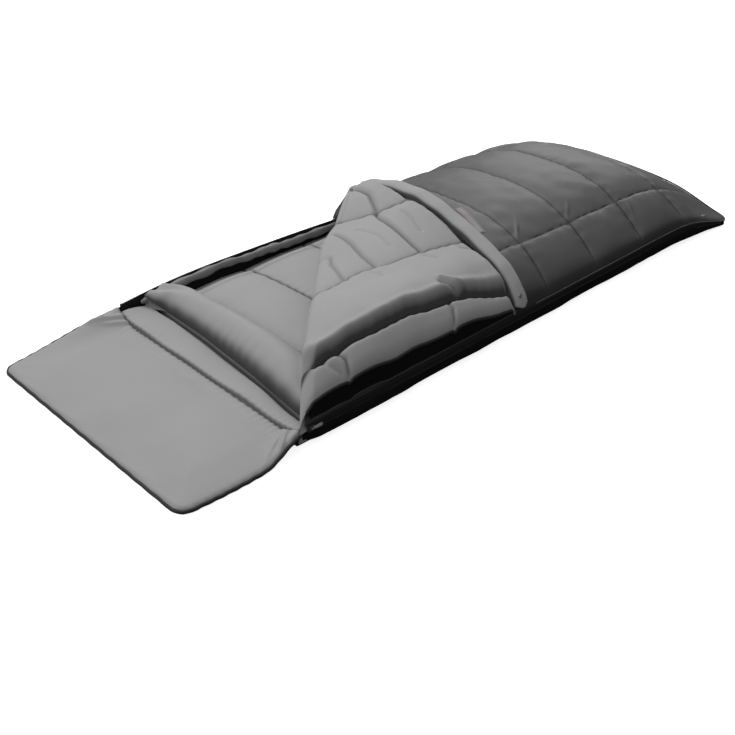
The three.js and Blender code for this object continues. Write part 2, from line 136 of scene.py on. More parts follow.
def make(name, verts, faces, material, sharp=55, normals=None, painted_shade_and_border=None):
    me = bpy.data.meshes.new(name)
    v = np.asarray(verts, float) + SHIFT
    me.from_pydata([tuple(map(float, q)) for q in v], [], [tuple(int(k) for k in f) for f in faces])
    me.validate()
    me.polygons.foreach_set("use_smooth", [True] * len(me.polygons))
    if painted_shade_and_border is not None:
        att = me.attributes.new("painted_shade_and_border", "FLOAT", "POINT")
        att.data.foreach_set("value", np.asarray(painted_shade_and_border, np.float32))
    me.update()
    if normals is not None:
        me.normals_split_custom_set_from_vertices([tuple(map(float, q)) for q in normals])
    elif sharp:
        me.set_sharp_from_angle(angle=math.radians(sharp))
    ob = bpy.data.objects.new(name, me)
    scene.collection.objects.link(ob)
    me.materials.append(material)
    return ob


def ring(nu, nv):
    r = [i * nv for i in range(nu)] + [(nu - 1) * nv + j for j in range(1, nv)]
    r += [i * nv + nv - 1 for i in range(nu - 2, -1, -1)] + [j for j in range(nv - 2, 0, -1)]
    return np.array(r)


def slab(name, top, bottom, material, normals=None, painted_shade_and_border=None, sharp=55, under=None):
    """Closed form between a top grid and a bottom grid of the same size; under is the cloth of its sides and underside."""
    nu, nv = top.shape[:2]
    n = nu * nv
    v = np.concatenate([top.reshape(-1, 3), bottom.reshape(-1, 3)])
    r = ring(nu, nv)
    r2 = np.roll(r, -1)
    ft, fb_ = grid_faces(nu, nv), grid_faces(nu, nv, n, True)
    side = np.stack([r, r + n, r2 + n, r2], -1)
    f = list(ft) + list(fb_) + list(side)
    cr = None
    if painted_shade_and_border is not None:
        cr = np.concatenate([painted_shade_and_border.reshape(-1), painted_shade_and_border.reshape(-1) * 0])
    ob = make(name, v, f, material, painted_shade_and_border=cr, sharp=sharp)
    if normals is not None:
        nb = -grid_normals(bottom).reshape(-1, 3)
        nt_ = normals.reshape(-1, 3)
        sn = np.cross(v[side[:, 1]] - v[side[:, 0]], v[side[:, 3]] - v[side[:, 0]])
        sn /= np.maximum(np.linalg.norm(sn, axis=1, keepdims=True), 1e-9)
        loops = np.concatenate([nt_[ft].reshape(-1, 3), nb[fb_ - n].reshape(-1, 3), np.repeat(sn, 4, 0)])
        if len(loops) == len(ob.data.loops):
            ob.data.normals_split_custom_set([tuple(map(float, q)) for q in loops])
    if under is not None:
        ob.data.materials.append(under)
        idx = np.zeros(len(ob.data.polygons), np.int32)
        idx[len(ft):] = 1
        ob.data.polygons.foreach_set("material_index", idx)
    return ob


def frames(path):
    """Tangent, side and up vectors along a path, up as near to +Z as it can be."""
    t = np.gradient(path, axis=0)
    t /= np.linalg.norm(t, axis=1, keepdims=True)
    up = np.tile([0.0, 0.0, 1.0], (len(path), 1))
    side = np.cross(up, t)
    bad = np.linalg.norm(side, axis=1) < 1e-3
    side[bad] = [1, 0, 0]
    side /= np.linalg.norm(side, axis=1, keepdims=True)
    up = np.cross(t, side)
    return t, side, up


def tube_grid(path, rs, ru, segs=24, start=0.0):
    """Rings round a path: rs and ru are the half widths sideways and upwards, per ring or one value."""
    t, side, up = frames(path)
    n = len(path)
    rs, ru = np.broadcast_to(rs, (n,)), np.broadcast_to(ru, (n,))
    a = start + np.arange(segs) * 2 * math.pi / segs
    p = (path[:, None] + side[:, None] * (np.cos(a)[None, :, None] * rs[:, None, None])
         + up[:, None] * (np.sin(a)[None, :, None] * ru[:, None, None]))
    return p


def tube_mesh(name, p, material, normals=None, painted_shade_and_border=None, sharp=60, caps=True):
    n, m = p.shape[:2]
    v = p.reshape(-1, 3)
    f = [list(q) for q in grid_faces(n, m, flip=True, wrap=True)]
    if caps:
        f.append(list(range(m)))
        f.append([(n - 1) * m + j for j in range(m)][::-1])
    ob = make(name, v, f, material, normals=normals, painted_shade_and_border=painted_shade_and_border, sharp=sharp)
    bm = bmesh.new()
    bm.from_mesh(ob.data)
    vol = bm.calc_volume(signed=True)
    bm.free()
    if vol < 0:
        ob.data.flip_normals()
    return ob


def parts(name, pieces, material, sharp=40):
    """One mesh from several closed vertex and face lists."""
    v, f, off = [], [], 0
    for pv, pf in pieces:
        v.append(np.asarray(pv, float))
        f += [[k + off for k in q] for q in pf]
        off += len(pv)
    return make(name, np.concatenate(v), f, material, sharp=sharp)


def soft_box(centre, size, bevel, spin=0.0, segments=2):
    bm = bmesh.new()
    bmesh.ops.create_cube(bm, size=1.0)
    for v in bm.verts:
        v.co = Vector((v.co.x * size[0], v.co.y * size[1], v.co.z * size[2]))
    bmesh.ops.bevel(bm, geom=list(bm.edges), offset=bevel, segments=segments, profile=0.5, affect="EDGES")
    bm.verts.ensure_lookup_table()
    c, s = math.cos(spin), math.sin(spin)
    pv = [(c * v.co.x - s * v.co.y + centre[0], s * v.co.x + c * v.co.y + centre[1], v.co.z + centre[2])
          for v in bm.verts]
    pf = [[v.index for v in f.verts] for f in bm.faces]
    bm.free()
    return pv, pf


def lathe(profile, centre, axis, segs=32):
    """A turned form: profile is (radius, height) from the foot to the top, about axis."""
    axis = np.array(axis, float) / np.linalg.norm(axis)
    side = np.cross(axis, [0.0, 1.0, 0.13])
    side /= np.linalg.norm(side)
    up = np.cross(axis, side)
    v, f = [], []
    for r, h in profile:
        for k in range(segs):
            a = 2 * math.pi * k / segs
            v.append(np.array(centre) + axis * h + (side * math.cos(a) + up * math.sin(a)) * max(r, 1e-5))
    m = len(profile)
    for i in range(m - 1):
        for k in range(segs):
            k2 = (k + 1) % segs
            f.append([i * segs + k, i * segs + k2, (i + 1) * segs + k2, (i + 1) * segs + k])
    f.append(list(range(segs))[::-1])
    f.append([(m - 1) * segs + k for k in range(segs)])
    return v, f


# ------------------------------------------------------------------ materials


def fabric(name, colour, rough, dark, sheen=0.0, sheen_rough=0.5, vary=0.06, crinkle=0.3, crinkle_scale=26,
           fine=0.12, spec=0.4, shade_and_border_tone=0.25, weave=620.0):
    m = bpy.data.materials.new(name)
    m.use_nodes = True
    nt = m.node_tree
    b = nt.nodes["Principled BSDF"]
    b.inputs["Roughness"].default_value = rough
    b.inputs["Specular IOR Level"].default_value = spec
    b.inputs["Sheen Weight"].default_value = sheen
    b.inputs["Sheen Roughness"].default_value = sheen_rough
    co = nt.nodes.new("ShaderNodeTexCoord")
    # slow change of tone across the cloth
    n1 = nt.nodes.new("ShaderNodeTexNoise")
    n1.inputs["Scale"].default_value = 5.0
    n1.inputs["Detail"].default_value = 5.0
    nt.links.new(co.outputs["Object"], n1.inputs["Vector"])
    r1 = nt.nodes.new("ShaderNodeMapRange")
    r1.inputs["To Min"].default_value = 1 - vary
    r1.inputs["To Max"].default_value = 1 + vary
    r1.inputs["From Min"].default_value = 0.3
    r1.inputs["From Max"].default_value = 0.7
    nt.links.new(n1.outputs["Fac"], r1.inputs["Value"])
    base = nt.nodes.new("ShaderNodeVectorMath")
    base.operation = "SCALE"
    base.inputs[0].default_value = colour
    nt.links.new(r1.outputs["Result"], base.inputs["Scale"])
    # painted shade: the base colour is darkened by a per-vertex mask, for the shade in seams, creases, under the strip
    # and on the near flank; on the patch the same mask draws its woven border
    at = nt.nodes.new("ShaderNodeAttribute")
    at.attribute_name = "painted_shade_and_border"
    mix = nt.nodes.new("ShaderNodeMix")
    mix.data_type = "RGBA"
    mix.inputs["B"].default_value = (*[c * shade_and_border_tone for c in colour], 1)
    nt.links.new(at.outputs["Fac"], mix.inputs["Factor"])
    nt.links.new(base.outputs["Vector"], mix.inputs["A"])
    nt.links.new(mix.outputs["Result"], b.inputs["Base Color"])
    # crinkles of the cloth, and the weave
    n2 = nt.nodes.new("ShaderNodeTexNoise")
    n2.inputs["Scale"].default_value = crinkle_scale
    n2.inputs["Detail"].default_value = 4.0
    n2.inputs["Roughness"].default_value = 0.5
    n2.inputs["Distortion"].default_value = 0.5
    nt.links.new(co.outputs["Object"], n2.inputs["Vector"])
    b1 = nt.nodes.new("ShaderNodeBump")
    b1.inputs["Strength"].default_value = crinkle
    b1.inputs["Distance"].default_value = 0.004
    nt.links.new(n2.outputs["Fac"], b1.inputs["Height"])
    w1 = nt.nodes.new("ShaderNodeTexWave")
    w1.bands_direction = "X"
    w1.inputs["Scale"].default_value = weave
    w1.inputs["Distortion"].default_value = 1.0
    w2 = nt.nodes.new("ShaderNodeTexWave")
    w2.bands_direction = "Y"
    w2.inputs["Scale"].default_value = weave
    w2.inputs["Distortion"].default_value = 1.0
    nt.links.new(co.outputs["Object"], w1.inputs["Vector"])
    nt.links.new(co.outputs["Object"], w2.inputs["Vector"])
    mx = nt.nodes.new("ShaderNodeMath")
    mx.operation = "MAXIMUM"
    nt.links.new(w1.outputs["Fac"], mx.inputs[0])
    nt.links.new(w2.outputs["Fac"], mx.inputs[1])
    b2 = nt.nodes.new("ShaderNodeBump")
    b2.inputs["Strength"].default_value = fine
    b2.inputs["Distance"].default_value = 0.0003
    nt.links.new(mx.outputs["Value"], b2.inputs["Height"])
    nt.links.new(b1.outputs["Normal"], b2.inputs["Normal"])
    nt.links.new(b2.outputs["Normal"], b.inputs["Normal"])
    return m


def solid(name, colour, rough, metallic=0.0, grain=0.1, scale=300.0, spec=0.5):
    m = bpy.data.materials.new(name)
    m.use_nodes = True
    nt = m.node_tree
    b = nt.nodes["Principled BSDF"]
    b.inputs["Metallic"].default_value = metallic
    b.inputs["Specular IOR Level"].default_value = spec
    co = nt.nodes.new("ShaderNodeTexCoord")
    n = nt.nodes.new("ShaderNodeTexNoise")
    n.inputs["Scale"].default_value = scale
    n.inputs["Detail"].default_value = 3.0
    nt.links.new(co.outputs["Object"], n.inputs["Vector"])
    r = nt.nodes.new("ShaderNodeMapRange")
    r.inputs["To Min"].default_value = max(0.02, rough - grain)
    r.inputs["To Max"].default_value = min(1, rough + grain)
    nt.links.new(n.outputs["Fac"], r.inputs["Value"])
    nt.links.new(r.outputs["Result"], b.inputs["Roughness"])
    v = nt.nodes.new("ShaderNodeVectorMath")
    v.operation = "SCALE"
    v.inputs[0].default_value = colour
    r2 = nt.nodes.new("ShaderNodeMapRange")
    r2.inputs["To Min"].default_value = 0.85
    r2.inputs["To Max"].default_value = 1.15
    nt.links.new(n.outputs["Fac"], r2.inputs["Value"])
    nt.links.new(r2.outputs["Result"], v.inputs["Scale"])
    nt.links.new(v.outputs["Vector"], b.inputs["Base Color"])
    return m


LINING = fabric("lining_cloth", (0.318, 0.318, 0.318), 0.72, 0.1, sheen=0.06, vary=0.03, crinkle=0.16,
                crinkle_scale=17, fine=0.10, spec=0.3, shade_and_border_tone=0.16)
SHELL = fabric("shell_cloth", (0.084, 0.084, 0.085), 0.46, 0.1, sheen=0.0, vary=0.05, crinkle=0.18,
               crinkle_scale=20, fine=0.10, spec=0.42, shade_and_border_tone=0.18)
WALL = fabric("wall_cloth", (0.007, 0.007, 0.0073), 0.75, 0.1, sheen=0.0, vary=0.25, crinkle=0.4,
              crinkle_scale=24, fine=0.12, spec=0.12, shade_and_border_tone=0.3)
GUARD = fabric("guard_cloth", (0.17, 0.17, 0.172), 0.36, 0.1, sheen=0.03, vary=0.12, crinkle=0.45,
               crinkle_scale=34, fine=0.06, spec=0.5, shade_and_border_tone=0.2)
BIND = fabric("binding_cloth", (0.020, 0.020, 0.021), 0.55, 0.1, sheen=0.02, vary=0.15, crinkle=0.3,
              crinkle_scale=60, fine=0.25, spec=0.4, shade_and_border_tone=0.4)
PIPE = fabric("piping_cloth", (0.030, 0.030, 0.031), 0.45, 0.1, sheen=0.03, vary=0.12, crinkle=0.2,
              crinkle_scale=80, fine=0.2, spec=0.5, shade_and_border_tone=0.5)
PATCH = fabric("patch_cloth", (0.23, 0.20, 0.20), 0.5, 0.1, sheen=0.02, vary=0.3, crinkle=0.2,
               crinkle_scale=90, fine=0.4, spec=0.5, shade_and_border_tone=0.2, weave=300)
TAPE = fabric("tape_cloth", (0.012, 0.012, 0.0125), 0.7, 0.1, vary=0.15, crinkle=0.2, crinkle_scale=60,
              fine=0.3, spec=0.3, shade_and_border_tone=0.5)
COIL = solid("coil_plastic", (0.016, 0.016, 0.017), 0.35, 0.0, 0.08, 400)
METAL = solid("zip_metal_finish", (0.34, 0.34, 0.35), 0.30, 1.0, 0.10, 500)
# painted highlight: the pulls are a pale, mostly non-metal grey standing in for the glint off their metal
PULL_GLINT = solid("pull_painted_glint", (0.55, 0.55, 0.56), 0.38, 0.25, 0.08, 400)
STUD = solid("stud_metal_finish", (0.30, 0.30, 0.31), 0.28, 1.0, 0.08, 400)

# ------------------------------------------------------------------ shape of the bag, head frame, metres

CROWN = table([[0, .150], [.2, .168], [.4, .180], [.6, .190], [.8, .214], [.9, .240], [1.0, .250], [1.22, .247],
               [1.45, .240], [1.6, .225], [1.72, .200], [1.82, .165], [1.88, .128], [1.905, .112]])


def foot_arc(y):
    return .035 * (1 - np.minimum(1, (y / .425) ** 2))


def edge_z(x, y):
    return .080 + foot_arc(y) * smooth(1.70, 1.895, x)


def top_z(x, y):
    e = edge_z(x, y)
    n = 5 + (2.75 - 5) * smooth(.75, 1.10, x)
    return e + np.maximum(0, CROWN(x) - edge_z(x, 0)) * (1 - np.minimum(1, np.abs(y / .425)) ** n)


far_wave = table([[0, .062], [.06, .068], [.16, .077], [.31, .081], [.45, .078], [.6, .074], [.75, .069],
                  [.868, .062], [.95, .060], [1.9, .060]])

n_a, n_b, n_c = noise(3, 9), noise(7, 28), noise(11, 70)


def pinch(p):
    """The two foot corners are drawn out flat into points; the near one more than the far one."""
    p = np.array(p, float)
    x, y, z = p[..., 0], p[..., 1], p[..., 2]
    for (cy, dx, dy, k, r) in ((-.425, .044, -.021, .72, .110), (.425, .012, .006, .25, .08)):
        w = np.exp(-(((x - 1.90) / (r * 1.25)) ** 2 + ((y - cy) / r) ** 2))
        x, y, z = x + dx * w, y + dy * w, z * (1 - k * w)
    p[..., 0], p[..., 1], p[..., 2] = x, y, z
    return p

# ---------------- hood

HX0, HX1 = -.3730, -.0010
nu, nv = 150, 220
U, Vv = np.meshgrid(spaced(0, 1, nu, .55), spaced(-1, 1, nv, .55), indexing="ij")


def hood_plan(u, v):
    """u from the head edge to the seam, v from near to far."""
    x = HX0 + (HX1 - HX0) * u
    half = .4215 + .010 * np.sin(math.pi * np.clip(u, 0, 1)) * (v < 0) + .001
    y = v * half
    # round the two head corners
    r = .034
    cx, cy = HX0 + r, half - r
    dx, dy = np.maximum(0, cx - x), np.maximum(0, np.abs(y) - cy)
    d = np.maximum(np.maximum(dx, dy), 1e-9)
    k = np.where((dx > 0) & (dy > 0), d / np.hypot(dx, dy), 1.0)
    x = np.where((dx > 0) & (dy > 0), cx - dx * k, x)
    y = np.where((dx > 0) & (dy > 0), np.sign(y) * (cy + dy * k), y)
    return x, y


hx, hy = hood_plan(U, Vv)


def hood_lift(x, y):
    """The side edges climb to the wall tops at the seam, the far one earlier."""
    far = smooth(.30, .432, y) ** 2.2 * (.048 * smooth(-.40, .0, x))
    near = smooth(.34, .428, -y) ** 1.6 * (.044 * smooth(-.13, .0, x))
    return far + near


def hood_top(x, y, d):
    body = .0135 + .019 * np.clip(d / .10, 0, 1) ** .5 * (1 - .12 * (y / .42) ** 2)
    z = body + hood_lift(x, y) + .0075 * smooth(-.05, -.002, x)
    z += .0022 * n_a(x, y * .8) * smooth(0, .08, d)
    z += .0009 * n_b(x, y) * smooth(0, .05, d)
    # puckers run in from the stitched edges
    z += .0012 * np.exp(-d / .018) * np.sin(x * 210 + 2 * np.sin(x * 23) + y * 40) * smooth(0, .006, d)
    seam = np.abs(x - HX1)
    z += .0016 * np.exp(-seam / .022) * np.sin(y * 260 + 3 * np.sin(y * 19))
    # pleats where the far and near edges are eased into the walls
    for (px, py, ax, ay, w, h) in [(-.045, .395, .95, -.30, .007, .010), (-.030, .372, .90, -.43, .006, .008),
                                   (-.075, .410, .98, -.20, .006, .006), (-.030, -.395, .80, .60, .007, .010),
                                   (-.050, -.385, .90, .43, .006, .008), (-.016, -.372, .70, .71, .006, .007)]:
        q = (x - px) * -ay + (y - py) * ax
        along = (x - px) * ax + (y - py) * ay
        z += h * np.exp(-(q / w) ** 2) * np.exp(-(along / .045) ** 2)
    return z


def edge_distance(x, y, half_fn=.4215):
    return np.minimum(np.minimum(x - HX0, HX1 - x + .0), half_fn - np.abs(y) + .008)


dh = np.clip(np.minimum(np.minimum(U * (HX1 - HX0), (1 - np.abs(Vv)) * .42), (1 - U) * (HX1 - HX0) + .02), 0, 1)
hz = hood_top(hx, hy, dh)
round_e = np.clip(np.minimum(U * (HX1 - HX0), (1 - np.abs(Vv)) * .42) / .012, 0, 1)
hb = .0012 + hood_lift(hx, hy) * .93
hz = hb + .007 + (hz - hb - .007) * np.sqrt(1 - (1 - round_e) ** 2 + 1e-9)
# painted shade in the hood seam and along its rolled edges
hood_painted_shade = .75 * np.exp(-(np.abs(hx - HX1) / .004) ** 2) + .35 * np.exp(-(dh / .003) ** 2)
hood = slab("hood_quilt", np.stack([hx, hy, hz], -1), np.stack([hx, hy, hb], -1), LINING, painted_shade_and_border=hood_painted_shade)
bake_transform(hood)
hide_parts("hood_outer_shell", "hood_fill", "hood_lining")

edge_u = np.concatenate([np.linspace(1, 0, 70), np.zeros(90), np.linspace(0, 1, 70)])
edge_v = np.concatenate([-np.ones(70), np.linspace(-1, 1, 92)[1:-1], np.ones(70)])
ex, ey = hood_plan(edge_u, edge_v)
ez = .0075 + hood_lift(ex, ey) * .97
ex = ex - .0008 * (edge_v * edge_v < 1)
path = np.stack([ex, ey + np.sign(ey) * .0012 * (np.abs(edge_v) == 1), ez], -1)
path[:, 2] += .0008 * np.sin(np.arange(len(path)) * .9)
hp = tube_mesh("hood_edge_binding", tube_grid(path, .0042, .0056, 14), BIND)
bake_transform(hp)
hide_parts("hood_piping")

# ---------------- base: walls, quilt, collar, guards

OUT = .4262


def wall_path(inset=0.0, n=60):
    """Head end of the near side, round the foot, to the head end of the far side."""
    r = .040 - inset
    foot = 1.898 - inset
    half = OUT - inset
    a = np.linspace(-math.pi / 2, 0, 14)
    near = np.stack([np.linspace(-.001, foot - r, 260), np.full(260, -half)], -1)
    c1 = np.stack([foot - r + r * np.cos(a), -half + r + r * np.sin(a)], -1)[1:]
    ff = np.linspace(-half + r, half - r, 140)[1:-1]
    across = np.stack([np.full(len(ff), foot), ff], -1)
    a2 = np.linspace(0, math.pi / 2, 14)
    c2 = np.stack([foot - r + r * np.cos(a2), half - r + r * np.sin(a2)], -1)
    far = np.stack([np.linspace(foot - r, -.001, 260), np.full(260, half)], -1)[1:]
    return np.concatenate([near, c1, across, c2, far])


wp = wall_path()
tang = np.gradient(wp, axis=0)
tang /= np.linalg.norm(tang, axis=1, keepdims=True)
outw = np.stack([tang[:, 1], -tang[:, 0]], -1)
s_along = np.concatenate([[0], np.cumsum(np.linalg.norm(np.diff(wp, axis=0), axis=1))])


def wall_top(x, y):
    z = .0560 + foot_arc(y) * smooth(1.70, 1.895, x)
    z = np.where(y > .3, far_wave(x) - .004, z)
    return z


wt = wall_top(wp[:, 0], wp[:, 1])
prof = []      # closed cross-section: (outward, height share), from outside bottom round to the inside
outer = [(-.046, .0005), (-.030, .0012), (-.016, .0045), (-.006, .013), (.0005, .026), (.0018, .40), (.0004, .72),
         (-.0022, .93), (-.0045, 1.0), (-.0080, .96), (-.0100, .70), (-.0120, .35), (-.020, .10), (-.046, .07)]
rows = []
nw1, nw2 = noise(21, 14), noise(22, 45)
for k, (o, h) in enumerate(outer):
    if k < 5:
        z = np.full(len(wp), h)
    else:
        z = h * wt if h > .2 else np.full(len(wp), .03 + h * .03)
        if h <= .2:
            z = np.full(len(wp), .012 + h * .05)
    bulge = (.0018 * nw1(s_along, k * .03) + .0010 * nw2(s_along, k * .05)) * (1.0 if 2 < k < 8 else .25)
    off = o + bulge - .014 * (1 - smooth(0, .07, wp[:, 0])) * (wp[:, 1] < 0)
    # upright gathers below the zip tape
    if 5 <= k <= 7:
        off = off + .0012 * np.sin(s_along * 70 + 2.5 * np.sin(s_along * 9)) * (k - 4) / 3
    rows.append(np.concatenate([wp + outw * off[:, None], z[:, None]], 1))
W = np.stack(rows, 1)
wall = tube_mesh("base_wall_shell", pinch(W), WALL, sharp=70)
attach(wall, "bag")

# underside pad: a quilted groundsheet, flat where it rests
gx, gy = np.meshgrid(spaced(.0, 1.872, 150, .3), spaced(-.402, .402, 70, .3), indexing="ij")
cells = puff(np.clip((gx % .24) / .24, 0, 1), .5) * puff(np.clip(((gy + .42) % .28) / .28, 0, 1), .5)
under = .0004 + .0030 * (1 - cells)
ug = slab("base_ground_shell", np.stack([gx, gy, np.full_like(gx, .0150)], -1), np.stack([gx, gy, under], -1), WALL)
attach(ug, "bag")
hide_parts("base_outer_shell")


def base_surface(x, y):
    z = .034 + 0 * x
    xs = [.0, .225, .462, .715, .95, 1.2, 1.45, 1.70, 1.87]
    out = np.zeros_like(x)
    painted_shade_and_border = np.zeros_like(x)
    for i in range(len(xs) - 1):
        a, b = xs[i], xs[i + 1]
        bow = .010 * (1 - (y / .42) ** 2)
        f = (x - a - bow) / (b - a)
        ins = (f >= 0) & (f <= 1)
        out = np.where(ins, .026 * puff(np.clip(f, 0, 1), .48), out)
        # painted shade along each cross seam of the base
        painted_shade_and_border = np.maximum(painted_shade_and_border, np.exp(-((x - a - bow) / .0045) ** 2))
    side = np.clip((.408 - np.abs(y)) / .16, 0, 1)
    z = z + out * (.25 + .75 * smooth(0, 1, side)) * smooth(.13, .25, x) + .004 * (1 - (y / .42) ** 2)
    # the far edge is drawn up to the side guard, and a stitch line follows it
    z = z - .014 * smooth(.365, .405, y) - .006 * smooth(.372, .412, -y)
    line = np.exp(-((np.abs(y) - .350) / .0045) ** 2)
    z = z - .004 * line
    z += .0022 * n_a(x * 1.2, y) + .0009 * n_b(x, y)
    for a in xs[1:-1]:
        d = np.abs(x - a - .010 * (1 - (y / .42) ** 2))
        z += .0016 * np.exp(-d / .020) * np.sin(y * 150 + 3 * np.sin(y * 17 + a * 9)) * smooth(0, .006, d)
    # painted shade: the seams darken, and the stitch line's dent a little
    return z, np.clip(painted_shade_and_border * .8 + line * .25, 0, 1)


bx_lines = np.concatenate([np.linspace(.0, 1.0, 330), np.linspace(1.0, 1.868, 110)[1:]])
bx, by = np.meshgrid(bx_lines, spaced(-.412, .412, 210, .25), indexing="ij")
bz, base_painted_shade = base_surface(bx, by)
# the head strip, between the hood seam and the collar's crease
XC = table([[-.43, .052], [-.27, .071], [-.095, .093], [.17, .116], [.35, .119], [.43, .119]])
xc = XC(by)
fh = np.clip(bx / xc, 0, 1)
head = .0345 + .0140 * puff(fh, .45) - .012 * fh
head += .35 * hood_lift(np.zeros_like(bx), by) * (1 - fh)
head += .0016 * n_b(bx * .7, by) + .0014 * np.exp(-bx / .012) * np.sin(by * 260 + 3 * np.sin(by * 19))
k = smooth(0, .022, bx - xc)
end_lift = hood_lift(np.zeros_like(bx), by)
bz = head * (1 - k) + bz * k
bz -= .010 * smooth(.402, .412, np.abs(by)) * (1 - smooth(.05, .12, bx))
bz = bz - .018 * np.exp(-((bx - xc) / .011) ** 2)
bz = np.maximum(bz, .0172)
# painted shade in the collar's crease and at the hood seam, added to the seam shade
base_painted_shade = np.clip(base_painted_shade * smooth(.12, .2, bx) + 1.0 * np.exp(-((bx - xc) / .0095) ** 2) + .8 * np.exp(-(bx / .004) ** 2), 0, 1)
bq = slab("base_quilt", np.stack([bx, by, bz], -1), np.stack([bx, by, np.full_like(bx, .0155)], -1), LINING, painted_shade_and_border=base_painted_shade)
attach(bq, "bag")
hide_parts("base_lining", "base_fill")

# collar: one long stuffed channel, sewn down along the crease
crest = table([[-.41, .082], [-.34, .096], [-.26, .108], [-.18, .115], [-.05, .118], [.05, .116], [.15, .109],
               [.234, .101], [.316, .091], [.36, .084], [.41, .076]])
cu, cv = np.meshgrid(np.linspace(0, 1, 90), spaced(-.411, .411, 260, .4), indexing="ij")
x0 = XC(cv) + .003 - .030 * smooth(.34, .411, cv)
x1 = .232 - .020 * smooth(.30, .40, np.abs(cv))
peak = crest(cv)
wob = noise(31, 16)
ang = cu * math.pi
cz0 = .031
bulge = np.sin(ang) ** .46
skew = cu ** .86
cxg = x0 + (x1 - x0) * (skew + .02 * np.sin(ang * 2)) - .012 * bulge * (1 - cu)
rise = (.040 * smooth(.335, .411, cv) + .040 * smooth(.34, .411, -cv)) * (1 - cu) ** .8
czg = cz0 + rise + np.maximum(peak - cz0 - rise, .006) * bulge
czg += (.0030 * wob(cxg, cv) + .0012 * n_b(cxg, cv)) * bulge
# puckers: many small ones along the sewn crease, long ones fanning from both ends
czg += .0040 * np.exp(-cu / .16) * np.sin(cv * 120 + 4 * np.sin(cv * 13)) * bulge ** .4
far_end = smooth(.24, .40, cv)
near_end = smooth(.12, .40, -cv)
czg += .0055 * far_end * np.sin((cu * 15 + cv * 14)) * bulge
czg += .0070 * near_end * np.sin((cu * 11 - cv * 26) + .8 * np.sin(cv * 40)) * bulge
# painted shade in the sewn crease and in the pucker valleys at the near end
collar_painted_shade = 1.0 * np.exp(-(cu / .085) ** 2) + .18 * near_end * (np.sin((cu * 11 - cv * 26) + .8 * np.sin(cv * 40)) < -.75)
collar = slab("draft_collar_quilt", np.stack([cxg, cv, czg], -1),
              np.stack([cxg, cv, np.full_like(cxg, .0315)], -1), LINING, painted_shade_and_border=np.clip(collar_painted_shade, 0, 1))
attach(collar, "bag")
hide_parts("draft_collar")

# guards: padded tubes behind the zips
for side, nm, node in ((1, "far_guard_tube", "far_draft_tube"), (-1, "near_guard_tube", "near_draft_tube")):
    gxs = np.linspace(.075, 1.845, 420)
    ng = noise(41 + side, 30)
    gz = (far_wave(gxs) if side > 0 else np.full_like(gxs, .060)) - .0125 + .0018 * ng(gxs, 0 * gxs)
    gy_ = side * (.4085 + .0015 * ng(gxs, 0 * gxs + .3))
    end = np.sqrt(np.clip(np.minimum(gxs - .073, 1.847 - gxs) / .03, 0.02, 1))
    puc = 1 + .20 * np.sin(gxs * 88 + 3 * np.sin(gxs * 11)) + .12 * ng(gxs * 1.7, 0 * gxs)
    P = tube_grid(np.stack([gxs, gy_, gz], -1), .0095 * end * puc, .0130 * end * (1 + .5 * (puc - 1)), 22)
    g = tube_mesh(nm, P, GUARD)
    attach(g, "bag")
    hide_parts(node)

# ---------------- closed top quilt

CROSS = [.98, 1.22, 1.465, 1.705]
LONG = [-.285, .285]


def quilt(x, y, xs, ys, h, w=.0035, first=None, last=None):
    """Puffs between seams at xs and ys; the two sets multiply, as diamonds of a mattress do."""
    ex = ([first] if first is not None else []) + list(xs) + ([last] if last is not None else [])
    ey = [-.425] + list(ys) + [.425]
    fx = np.zeros_like(x)
    for a, b in zip(ex[:-1], ex[1:]):
        m = (x >= a) & (x <= b)
        fx = np.where(m, puff(np.clip((x - a) / (b - a), 0, 1), .40), fx)
    fy = np.zeros_like(x)
    for a, b in zip(ey[:-1], ey[1:]):
        m = (y >= a) & (y <= b)
        fy = np.where(m, puff(np.clip((y - a) / (b - a), 0, 1), .40), fy)
    dx = np.min([np.abs(x - a) for a in xs], axis=0)
    dy = np.min([np.abs(y - a) for a in ys], axis=0)
    # painted shade along the seams
    painted_shade_and_border = np.maximum(np.exp(-(dx / w) ** 2), np.exp(-(dy / w) ** 2))
    return h * fx * fy, painted_shade_and_border, dx, dy


def top_surface(x, y):
    z = top_z(x, y)
    bow = .018 * (1 - (y / .425) ** 2)
    q, cr, dx, dy = quilt(x - bow + .009, y, CROSS, LONG, .017, first=.70, last=1.93)
    fade = smooth(.0, .05, .425 - np.abs(y))
    z = z - .010 * fade + q * (.35 + .65 * fade) * (1 - .55 * smooth(1.70, 1.80, x))
    z = z - .006 * smooth(1.60, 1.80, x) * fade
    # the seams pull shallow gathers across the cloth
    pk = noise(51, 60)
    z += .0012 * np.exp(-dx / .020) * np.sin(y * 130 + 3 * np.sin(y * 21) + x * 9) * smooth(0, .005, dx)
    z += .0014 * np.exp(-dy / .020) * np.sin(x * 120 + 3 * np.sin(x * 15)) * smooth(0, .005, dy)
    z += .0022 * n_a(x * .9, y * 1.1) * fade + .0007 * pk(x, y) * fade
    # a few short tension wrinkles where seams meet
    for (px, py, ang_, ln, h) in [(1.055, .235, 2.2, .035, .004), (1.275, .305, 1.9, .030, .004),
                                  (1.335, .245, 2.3, .040, .004), (1.520, .215, 2.0, .035, .0045),
                                  (1.600, .160, 2.2, .045, .004), (1.015, -.245, .8, .035, .004),
                                  (1.255, -.250, .7, .030, .003), (1.180, .335, 1.8, .030, .003),
                                  (1.500, -.320, 1.1, .035, .003), (1.740, -.100, 2.0, .040, .003)]:
        c, s = math.cos(ang_), math.sin(ang_)
        u = (x - px) * c + (y - py) * s
        v = -(x - px) * s + (y - py) * c
        z += h * np.exp(-(u / ln) ** 2) * np.exp(-(v / .0055) ** 2)
    return z, cr


